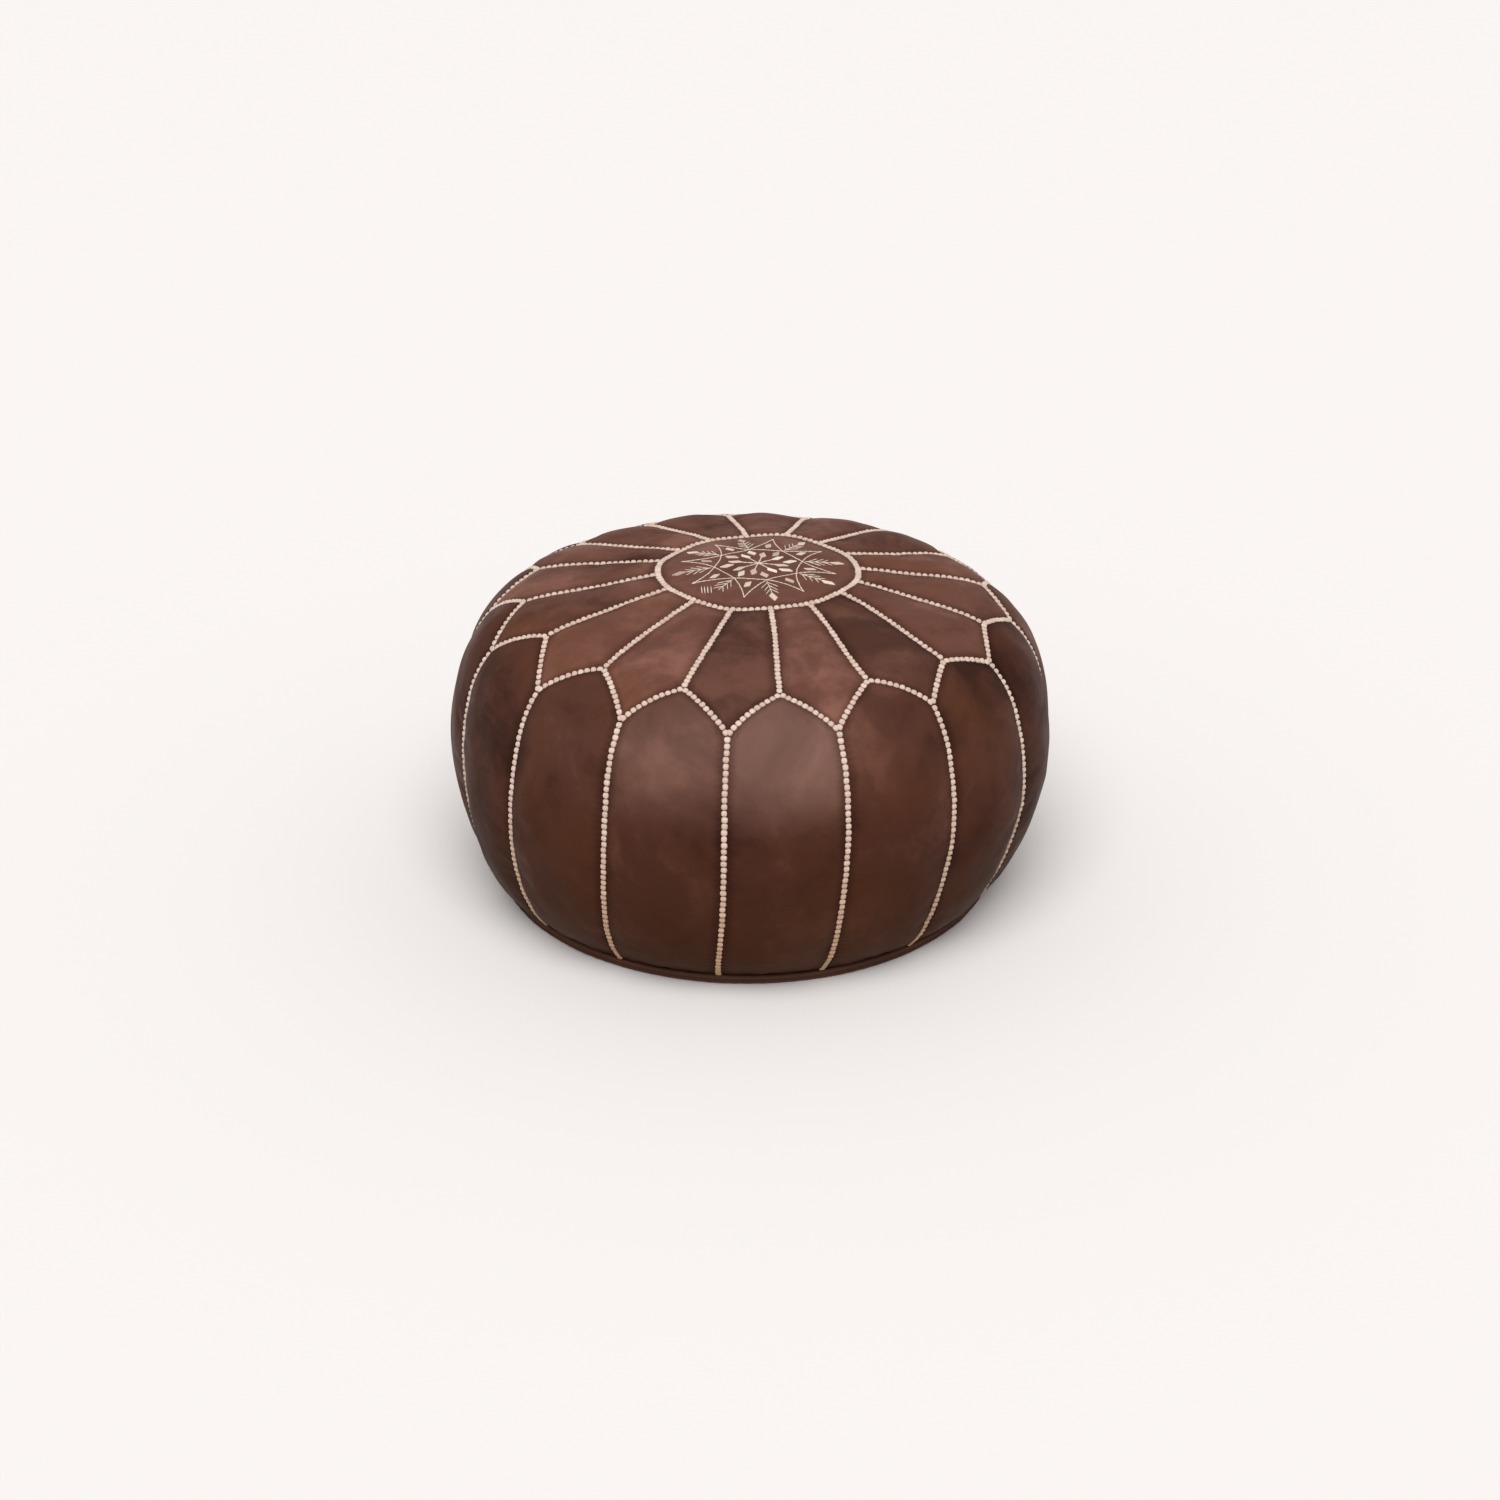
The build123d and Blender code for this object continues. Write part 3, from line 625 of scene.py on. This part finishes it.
def seam_thread(name, top_colour, low_colour):
    """Waxed cotton thread, cream, with a silky sheen, browner and darker towards the bottom."""
    material, tree, shader = new_material(name)
    height = (add_node(tree, "ShaderNodeSeparateXYZ", inputs={"Vector": object_place(tree)}), "Z")
    # the thread is browner and darker towards the bottom
    low_share = ranged(tree, height, 175 * mm, 15 * mm, 0.0, 0.9)
    aged = mixed(tree, low_share, linear(top_colour), linear(low_colour))
    varied = ranged(tree, attribute(tree, "shade"), 0.0, 1.0, 0.0, 0.35)
    shaded = mixed(tree, varied, aged, linear("#B79C8C"), "MULTIPLY")
    strands = (add_node(tree, "ShaderNodeUVMap", {"uv_map": "strands"}), "UV")
    across = (add_node(tree, "ShaderNodeSeparateXYZ", inputs={"Vector": strands}), "X")
    ridges = maths(tree, "SINE", maths(tree, "MULTIPLY", across, 2 * math.pi / strand_width))
    set_inputs(tree, shader, {"Base Color": shaded, "Normal": bumped(tree, ridges, 0.5, 0.14 * mm),
                              "Roughness": 0.55, "Sheen Weight": 0.35, "Sheen Roughness": 0.4})
    return material


cream_thread = seam_thread("waxed cotton thread, cream", "#DEC8BA", "#B58B5E")
points_each = 60
row_margin = 2.2 * mm    # a row of stitches stops where it meets another row
side_spots, spoke_spots, scallop_spots = [], [], []
edge_margin, bar_length = 2.5 * mm, 19 * mm
for n in range(PANELS):
    spoke_turn = FRONT + n * STEP
    tip_turn = spoke_turn + STEP / 2
    spoke_end, tip_end = seam_ends(spoke_turn)[0], seam_ends(tip_turn)[1]
    spoke_alongs = np.linspace(along_at(ring_radius), along_at(spoke_end), points_each)
    spoke_spots += seam_row(np.full(points_each, spoke_turn), spoke_alongs, margin=row_margin)
    tip_turns = np.full(points_each, tip_turn)
    side_alongs = np.linspace(along_at(tip_end) - 1.2 * mm, bar_length, points_each)
    side_spots += seam_row(tip_turns, side_alongs)
    # the row ends in a bar of plain wrapped thread, flat and close, just above the welt
    bar_alongs = np.linspace(bar_length, edge_margin, points_each)
    side_spots += [(c, f, a, o, s * (1.25, 1.0, 0.8), 0.25 + 0.3 * k)
                   for c, f, a, o, s, k in seam_row(tip_turns, bar_alongs, pitch_wanted=2.4 * mm)]
    for start, end in ((spoke_turn, tip_turn), (tip_turn, spoke_turn + STEP)):
        turns = np.linspace(start, end, points_each)
        scallop_spots += seam_row(turns, along_at(scallop_radius(turns)))
ring_turns = np.linspace(0, 2 * math.pi, 400)
ring_spots = seam_row(ring_turns, np.full(400, along_at(ring_radius)))
ring_spots = [(c, f, a, o, s * (1, 1.12, 1.0), k) for c, f, a, o, s, k in ring_spots]

for name, node, spots in (
    ("side_seam_stitches", "side_stitching", side_spots),
    ("spoke_stitches", "spoke_stitching", spoke_spots),
    ("scallop_stitches", "scallop_stitching", scallop_spots),
    ("medallion_ring_stitches", "medallion_stitching", ring_spots),
):
    row_piece = laid_thread(name, pad_places, pad_faces, spots)
    row_piece.data.materials.append(cream_thread)
    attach(row_piece, "root")
    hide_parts(node)

# ================= medallion embroidery =================
# Ivory silk worked on the medallion by hand: an eight-pointed star in line stitch, sprigs of straight
# stitches between its points, and leaves in satin stitch, where threads lie side by side.
bpy.ops.object.select_all(action="DESELECT")
bpy.ops.mesh.primitive_uv_sphere_add(segments=8, ring_count=6, radius=0.5)
strand = bpy.context.object
for vertex in strand.data.vertices:
    x, y, z = vertex.co
    blunt = 1 + 0.5 * abs(x)    # a strand keeps its width nearly to its ends
    vertex.co = (x, y * blunt, z * blunt)
strand.data.transform(Matrix.Rotation(math.pi / 2, 4, "Y"))
strand_places = vertex_places(strand.data)
strand_faces = [tuple(face.vertices) for face in strand.data.polygons]
bpy.data.objects.remove(strand)

star_points, star_step = 8, 2 * math.pi / 8
star_turn = math.radians(27.5)
star_radius, star_bow = 71 * mm, 14 * mm
leaf_length, leaf_width = 14 * mm, 8.5 * mm
stem_end, stem_leaf, between_leaf, point_leaf = 15 * mm, 21 * mm, 29 * mm, 47.5 * mm    # plan radii
line_thread, leaf_thread, thread_rise = 1.15 * mm, 1.2 * mm, 1.0 * mm
satin_pitch, satin_rise = 0.92 * mm, 1.5 * mm
embroidery = random.Random(5)


def on_medallion(point):
    """A point of the medallion's upper face, with its outward normal, from its place in the plan."""
    radius, turn = abs(point), math.atan2(point.imag, point.real)
    along = along_at(radius)
    puff = medallion_puff(radius / ring_radius, turn)
    return on_form(turn, along, puff), form_normal(turn, along)


def polar(radius, turn):
    """A place in the plan as a complex number."""
    return radius * complex(math.cos(turn), math.sin(turn))


def thread_between(start, end, width, shade, rise=thread_rise):
    """One straight thread on the medallion."""
    first, second = on_medallion(start)[0], on_medallion(end)[0]
    centre, outward = on_medallion((start + end) / 2)
    forward = unit(second - first)
    across = unit(np.cross(outward, forward))
    length = np.linalg.norm(second - first)
    return (centre, forward, across, np.cross(forward, across), np.array([length, width, rise]), shade)


def line_stitch(points, width=line_thread, stitch=4.4 * mm):
    """A line of straight stitches, end to end, through points in the plan."""
    spots = []
    points = np.array(points)
    run = np.concatenate(([0], np.cumsum(np.abs(np.diff(points)))))
    count = max(1, round(run[-1] / stitch))
    marks = np.linspace(0, run[-1], count + 1)
    places = np.interp(marks, run, points.real) + 1j * np.interp(marks, run, points.imag)
    for start, end in zip(places[:-1], places[1:]):
        overlap = (end - start) * 0.08
        jitter = complex(embroidery.gauss(0, 0.12), embroidery.gauss(0, 0.12)) * mm
        spots.append(thread_between(start - overlap + jitter, end + overlap + jitter, width,
                                    embroidery.uniform(0.1, 0.5)))
    return spots


def satin_leaf(middle, turn, length=leaf_length, width=leaf_width, shade=0.3):
    """A pointed leaf of threads laid side by side, slanting across it."""
    spots = []
    forward, slant = polar(1, turn), polar(1, turn + math.radians(62))
    count = round(length / satin_pitch)
    for n in range(1, count):
        share = n / count
        half = width / 2 * (1 - abs(2 * share - 1)) ** 0.95 + 0.2 * mm
        foot = middle + forward * length * (share - 0.5)
        spots.append(thread_between(foot - slant * half, foot + slant * half, leaf_thread,
                                    shade + embroidery.uniform(-0.08, 0.08), rise=satin_rise))
    return spots


star_spots, flower_spots, sprig_spots = [], [], []
chord_middle = star_radius * math.cos(star_step) - star_bow
half_chord = star_radius * math.sin(star_step)
bow = (half_chord ** 2 + star_bow ** 2) / (2 * star_bow)
for n in range(star_points):
    tip = star_turn + n * star_step + math.radians(embroidery.uniform(-1.5, 1.5))
    # a side of the star: an arc that bows towards the centre, from this point to the next but one
    middle_turn = star_turn + (n + 1) * star_step
    bow_centre = polar(chord_middle + bow, middle_turn)
    reach = math.asin(half_chord / bow)
    side_turns = np.linspace(-reach, reach, 30)
    side_line = [bow_centre - polar(bow, middle_turn + t) for t in side_turns]
    star_spots += line_stitch(side_line)
    # a stem that ends in a leaf, a leaf between the stems, and a leaf in the star's point
    flower_spots += line_stitch([0j, polar(stem_end, tip)], width=1.3 * mm)
    flower_spots += satin_leaf(polar(stem_leaf, tip), tip, shade=embroidery.uniform(0.0, 0.8))
    between = tip + star_step / 2
    flower_spots += satin_leaf(polar(between_leaf, between), between + math.radians(8),
                               shade=embroidery.uniform(0.0, 0.8))
    flower_spots += satin_leaf(polar(point_leaf, tip), tip + math.radians(embroidery.uniform(-25, 10)),
                               length=12 * mm, shade=embroidery.uniform(0.2, 1.0))
    # a sprig: a stem with twigs in pairs and a leaf at its top, or four hatched stitches on one of them
    foot, top = 43.5 * mm, 66 * mm
    sprig_spots += line_stitch([polar(foot, between), polar(top, between)], width=0.95 * mm)
    if n == 4:
        stroke = polar(5.5 * mm, math.radians(86))
        for hatch in range(4):
            centre = polar(71.5 * mm, math.radians(223)) + polar((hatch - 1.5) * 2.7 * mm, math.radians(-7))
            sprig_spots += line_stitch([centre - stroke, centre + stroke], width=mm, stitch=13 * mm)
    else:
        sprig_spots += satin_leaf(polar(top + 7 * mm, between), between,
                                  shade=embroidery.uniform(0.1, 0.9))
    for pair in range(3):
        start = polar(foot + (2.5 + pair * 6.5) * mm, between)
        for side in (-1, 1):
            twig_turn = between + side * math.radians(36 + embroidery.uniform(-4, 4))
            twig = polar((12 - pair * 1.4 + embroidery.uniform(-0.8, 0.8)) * mm, twig_turn)
            sprig_spots += line_stitch([start, start + twig], width=0.85 * mm, stitch=7 * mm)


def embroidery_silk(name):
    """Twisted silk: ivory, with a soft gleam across its strands; some leaves are worked in paler thread."""
    material, tree, shader = new_material(name)
    tinted = colour_ramp(tree, attribute(tree, "shade"),
                         ((0.0, "#E9DFD0"), (0.4, "#D3C1B2"), (1.0, "#AE8A7D")))
    strands = (add_node(tree, "ShaderNodeUVMap", {"uv_map": "strands"}), "UV")
    twist = add_node(tree, "ShaderNodeTexWave", {"bands_direction": "DIAGONAL"}, {
        "Vector": strands, "Scale": 1 / (3.2 * mm)})
    relief = bumped(tree, (twist, "Fac"), 0.3, 0.08 * mm)
    set_inputs(tree, shader, {"Base Color": tinted, "Normal": relief, "Roughness": 0.42,
                              "Sheen Weight": 0.3})
    return material


ivory_silk = embroidery_silk("embroidery silk, ivory")
for name, node, spots in (
    ("embroidered_star", "star_embroidery", star_spots),
    ("embroidered_flower", "flower_embroidery", flower_spots),
    ("embroidered_sprigs", "sprig_embroidery", sprig_spots),
):
    piece = laid_thread(name, strand_places, strand_faces, spots)
    piece.data.materials.append(ivory_silk)
    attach(piece, "root")
    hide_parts(node)

# ================= base welt and its cord =================
# A strip of goat leather rolled round a cotton cord, 8 mm thick, sewn between the panels and the base.
# It is drawn tight round the bottom edge, so its leather puckers finely all the way round.
welt_section, cord_section = 4 * mm, 2.6 * mm    # their radii
welt_middle = welt_high.x - welt_section


def bottom_ring(name, segments, sides, section):
    """A round ring that lies along the middle of the welt."""
    bpy.ops.object.select_all(action="DESELECT")
    bpy.ops.mesh.primitive_torus_add(major_segments=segments, minor_segments=sides, major_radius=welt_middle,
                                     minor_radius=section, location=(0, 0, welt_section))
    ring = bpy.context.object
    ring.name = name
    bpy.ops.object.transform_apply(location=True)
    return ring


welt = bottom_ring("welt_leather", 600, 24, welt_section)
places = vertex_places(welt.data)
turn = np.arctan2(places[:, 1], places[:, 0])
radius = np.hypot(places[:, 0], places[:, 1])
pucker = (0.22 * np.sin(143 * turn + 1.5 * np.sin(9 * turn))
          + 0.16 * np.sin(227 * turn + 2 * np.sin(5 * turn))
          + 0.3 * np.sin(17 * turn + 1) * np.sin(6 * turn)) * mm
outer = (radius - welt_middle) / welt_section
upper = np.clip((places[:, 2] - 2 * mm) / (6 * mm), 0, 1)
section_turn = np.arctan2(places[:, 2] - welt_section, radius - welt_middle)
fold = (section_turn - math.radians(5)) / 0.22    # where its two edges are sewn together
groove = 0.7 * mm * np.exp(-fold ** 2)
radius = radius + pucker * np.clip(outer, 0, 1) - groove
places[:, 0], places[:, 1] = radius * np.cos(turn), radius * np.sin(turn)
places[:, 2] += pucker * upper
welt.data.vertices.foreach_set("co", drawn_in(places).ravel())
# painted shade darkens the welt into the groove where its edges are sewn, through seam_distance
set_attributes(welt.data, seam_distance=np.abs(fold) * 3.2 * mm, seam_run=turn * welt_middle,
               tone=np.full(len(turn), 0.2), wear=np.zeros(len(turn)))
bpy.ops.object.shade_smooth()
# the welt and the base lie low, so nearly all of the painted shade towards the floor falls on them
base_finish = dyed_goat_leather(
    "hand-dyed goat leather, base",
    ((0.0, "#331F17"), (0.5, "#523328"), (1.0, "#765040")), "#5F3B22", "#553C31", "#7A5646")
welt.data.materials.append(base_finish)
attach(welt, "root")
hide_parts("base_welt")

cord = bottom_ring("welt_cord_cotton", 360, 12, cord_section)
cord.data.vertices.foreach_set("co", drawn_in(vertex_places(cord.data)).ravel())
bpy.ops.object.shade_smooth()


def plain_cotton(name, colour, weave):
    """Unbleached calico: warm white, matt, a plain weave with a few thicker threads."""
    material, tree, shader = new_material(name)
    place = object_place(tree)
    tinted = colour_ramp(tree, noise(tree, place, 9 * mm, 4), ((0.3, colour), (0.7, "#F1EADB")))
    warp, weft = [(add_node(tree, "ShaderNodeTexWave", {"bands_direction": axis}, {
        "Vector": place, "Scale": 1 / (3.1 * weave), "Distortion": 0.6}), "Fac") for axis in "XZ"]
    relief = bumped(tree, maths(tree, "MAXIMUM", warp, weft), 0.4, 0.15 * mm)
    set_inputs(tree, shader, {"Base Color": tinted, "Normal": relief, "Roughness": 0.85})
    return material


calico = plain_cotton("unbleached calico", "#DDD3BF", 0.9 * mm)
cord.data.materials.append(calico)
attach(cord, "root")
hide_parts("welt_cord")

# ================= inner bag and stuffing =================
# A calico bag fills the leather cover, packed hard with cotton scraps through the zip. Both are hidden
# while the zip is closed.
flat_share = 0.28    # the bag's flat underside, as a share of the rows
zip_room = 13 * mm
for name, node, inset, wrinkle in (("calico_bag", "inner_bag", 2.8 * mm, 0.8 * mm),
                                   ("cotton_stuffing", "stuffing", 4.8 * mm, 1.0 * mm)):
    bag_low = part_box(node)[0]
    bag = gridded_sheet(name, 160, 90)
    flat = vertex_places(bag.data)
    turn = (flat[:, 0] + 0.5) * 2 * math.pi
    share = flat[:, 1] + 0.5
    along = np.clip((share - flat_share) / (1 - flat_share), 0, 1) * DISTANCES[-1]
    creases = wrinkle * np.sin(23 * turn + 30 * along) * np.sin(60 * along + 5 * turn)
    shaped = on_form(turn, along, -inset + creases)
    under = share < flat_share
    inward = np.where(under, share / flat_share, 1)
    shaped[:, :2] *= inward[:, None]
    shaped[under, 2] = bag_low.z + (shaped[under, 2] - bag_low.z) * inward[under] ** 24
    # room for the zip, which stands up into the bag's underside
    over_zip = np.exp(-((shaped[:, 1] / (34 * mm)) ** 4) - (shaped[:, 0] / (215 * mm)) ** 8)
    groove = (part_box("inner_bag")[0].z + zip_room - bag_low.z) * over_zip
    shaped[:, 2] += np.where(under, groove, 0)
    bag.data.vertices.foreach_set("co", shaped.ravel())
    close_sheet(0.05 * mm)
    bpy.ops.object.shade_smooth()
    bag.data.materials.append(calico)
    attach(bag, "root")
    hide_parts(node)

# ================= base =================
# A disc of the same leather in two halves. Each is turned under and hemmed along the zip, with one row
# of thread, and the zip draws both up a little, so the leather puckers there and lies flat elsewhere.
window_half_length, window_half_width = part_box("zip_teeth_front")[1].x + 11 * mm, 8 * mm
recess_half_length, recess_half_width, recess_depth = 172 * mm, 21 * mm, 5.6 * mm
hem_width, hem_thickness = 9 * mm, 0.5 * mm
hem_pitch, hem_stitch, hem_row_place = 4.6 * mm, 3.4 * mm, 13.5 * mm


def base_place(x, y):
    """Points of the base's lower face, which is drawn up round the zip."""
    past_end = np.clip(np.abs(x) - recess_half_length, 0, None)
    from_zip = np.hypot(past_end, y)
    fall = np.clip((from_zip - recess_half_width) / (9 * mm), 0, 1)
    height = 0.4 * mm + (recess_depth - 0.4 * mm) * (1 - fall * fall * (3 - 2 * fall))
    gathered = np.exp(-((from_zip - 33 * mm) / (10 * mm)) ** 2)
    height = height + 0.45 * mm * gathered * (1 + np.sin(x / (2.3 * mm) + 2 * np.sin(x / (21 * mm))))
    in_window = np.abs(x) < window_half_length + 2 * mm
    hem = in_window & (np.abs(y) < window_half_width + hem_width)
    return drawn_in(np.stack((x, y, height - hem_thickness * hem), axis=-1))


hem_rows = []
for node, name, sign, tone in (("base_front", "base_leather_front", -1, -0.02),
                               ("base_back", "base_leather_back", 1, 0.06)):
    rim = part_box(node)[1].x + 1.3 * mm    # its edge reaches the welt
    half = gridded_sheet(name, 240, 44)
    flat = vertex_places(half.data)
    swing = flat[:, 0] * math.radians(179)
    share = (flat[:, 1] + 0.5) ** 1.7
    x = rim * np.sin(swing)
    window = np.clip((window_half_length - np.abs(x)) / (6 * mm), 0, 1) ** 0.5
    inner = 0.5 * mm + (window_half_width - 0.5 * mm) * window
    inner = np.minimum(inner, rim * np.cos(swing) * 0.8)
    y = sign * (inner + share * (rim * np.cos(swing) - inner))
    half.data.vertices.foreach_set("co", base_place(x, y).ravel())
    # painted shade darkens the base towards its rim and along the zip's opening, through seam_distance
    from_seams = np.minimum(rim - np.hypot(x, y), np.abs(y) - inner)
    set_attributes(half.data, seam_distance=from_seams, seam_run=x, tone=np.full(len(x), tone),
                   wear=np.zeros(len(x)))
    half.data.update()
    if half.data.polygons[0].normal.z > 0:
        half.data.flip_normals()
    thicken(half)
    bpy.ops.object.shade_smooth_by_angle(angle=math.radians(40))
    half.data.materials.append(base_finish)
    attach(half, "root")
    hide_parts(node)
    # the hem's row of thread
    for start in np.arange(-window_half_length, window_half_length, hem_pitch):
        ends = base_place(np.array([start, start + hem_stitch]), np.full(2, sign * hem_row_place))
        span = ends[1] - ends[0]
        hem_rows.append((ends.mean(axis=0), unit(span), np.array([0.0, -1.0, 0.0]),
                         np.array([0.0, 0.0, -1.0]), np.array([3.6 * mm, 0.8 * mm, 0.9 * mm]), 0.6))
hem_thread = laid_thread("base_hem_stitches", strand_places, strand_faces, hem_rows)
hem_thread.data.materials.append(cream_thread)
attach(hem_thread, "root")

# ================= zip =================
# A heavy brass zip, 320 mm long, on dark cotton tape. The slider runs along the closed teeth, and its
# pull tab swings on a bar through the slider's crown.
def aged_brass(name):
    """Die-cast brass, tumbled and handled: warm yellow, brown in the hollows, brushed by use."""
    material, tree, shader = new_material(name)
    place = object_place(tree)
    tarnish = noise(tree, place, 5 * mm, 4)
    scratches = bumped(tree, noise(tree, place, 0.7 * mm, 2), 0.15, 0.05 * mm)
    set_inputs(tree, shader, {
        "Base Color": colour_ramp(tree, tarnish, ((0.3, "#7A5A2C"), (0.62, "#B8904C"))),
        "Roughness": ranged(tree, tarnish, 0.0, 1.0, 0.5, 0.28), "Normal": scratches, "Metallic": 1.0})
    return material


def zip_tape_cotton(name):
    """Herringbone cotton tape: dark brown and matt, ribbed every 1.2 mm."""
    material, tree, shader = new_material(name)
    ribs = (add_node(tree, "ShaderNodeTexWave", {"bands_direction": "DIAGONAL"}, {
        "Vector": object_place(tree), "Scale": 1 / (3.8 * mm), "Distortion": 0.3}), "Fac")
    set_inputs(tree, shader, {
        "Base Color": colour_ramp(tree, ribs, ((0.2, "#1E1410"), (0.8, "#33251C"))),
        "Normal": bumped(tree, ribs, 0.5, 0.12 * mm), "Roughness": 0.9})
    return material


brass = aged_brass("aged brass")
tape_cotton = zip_tape_cotton("herringbone cotton tape, brown")
for finish, nodes in (
    (brass, ("zip_teeth_front", "zip_teeth_back", "zip_stops", "zip_slider", "zip_pull")),
    (tape_cotton, ("zip_tape_front", "zip_tape_back")),
):
    for node in nodes:
        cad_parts[node].data.materials.clear()
        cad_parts[node].data.materials.append(finish)

# ================= studio =================
# A plain pale floor that fills the view, a broad soft light from above and in front, and an even sky.
bpy.ops.object.select_all(action="DESELECT")
bpy.ops.mesh.primitive_plane_add(size=40)
floor = bpy.context.object
floor.name = "studio_floor"
paint, paint_tree, paint_shader = new_material("matt studio floor")
set_inputs(paint_tree, paint_shader, {
    "Base Color": linear("#E9E8E9"), "Roughness": 0.9, "Specular IOR Level": 0.1})
# the floor is clear from below and under the base, so that the base and the zip can be looked at
clear_radius = 222 * mm
facing = add_node(paint_tree, "ShaderNodeNewGeometry")
from_middle = add_node(paint_tree, "ShaderNodeVectorMath", {"operation": "LENGTH"}, {
    0: (facing, "Position")})
under_base = maths(paint_tree, "LESS_THAN", (from_middle, "Value"), clear_radius)
hidden = maths(paint_tree, "MAXIMUM", (facing, "Backfacing"), under_base)
clear = add_node(paint_tree, "ShaderNodeBsdfTransparent")
one_sided = add_node(paint_tree, "ShaderNodeMixShader", inputs={
    0: hidden, 1: (paint_shader, "BSDF"), 2: (clear, "BSDF")})
set_inputs(paint_tree, paint_tree.nodes["Material Output"], {"Surface": (one_sided, 0)})
floor.data.materials.append(paint)

scene = bpy.context.scene
scene.view_settings.view_transform = "Standard"
sky = bpy.data.worlds.new("studio_sky")
sky.use_nodes = True
sky.node_tree.nodes["Background"].inputs["Color"].default_value = linear("#FFFBF7")
sky.node_tree.nodes["Background"].inputs["Strength"].default_value = 0.55
scene.world = sky

lamp = bpy.data.lights.new("softbox", "SUN")
lamp.energy = 2.3
lamp.angle = math.radians(50)
lamp.color = (1.0, 0.97, 0.94)
softbox = bpy.data.objects.new("softbox", lamp)
softbox.rotation_euler = (math.radians(30), 0, math.radians(-10))
scene.collection.objects.link(softbox)

camera_data = bpy.data.cameras.new("camera")
camera_data.lens, camera_data.sensor_width = 64.1, 36
camera = bpy.data.objects.new("camera", camera_data)
scene.collection.objects.link(camera)
scene.camera = camera
azimuth, elevation, roll = math.radians(-6.8), math.radians(25.3), math.radians(0.2)
camera_distance, middle, aim = 2.471, Vector((0, 0, 0.153)), Vector((0, 0, 0.114))
outwards = Vector((math.sin(azimuth) * math.cos(elevation), -math.cos(azimuth) * math.cos(elevation),
                   math.sin(elevation)))
camera.location = middle + outwards * camera_distance
looking = (aim - camera.location).to_track_quat("-Z", "Y").to_matrix().to_4x4()
turned = looking @ Matrix.Rotation(roll, 4, "Z")
camera.rotation_euler = turned.to_euler()
camera_data.clip_end = 100
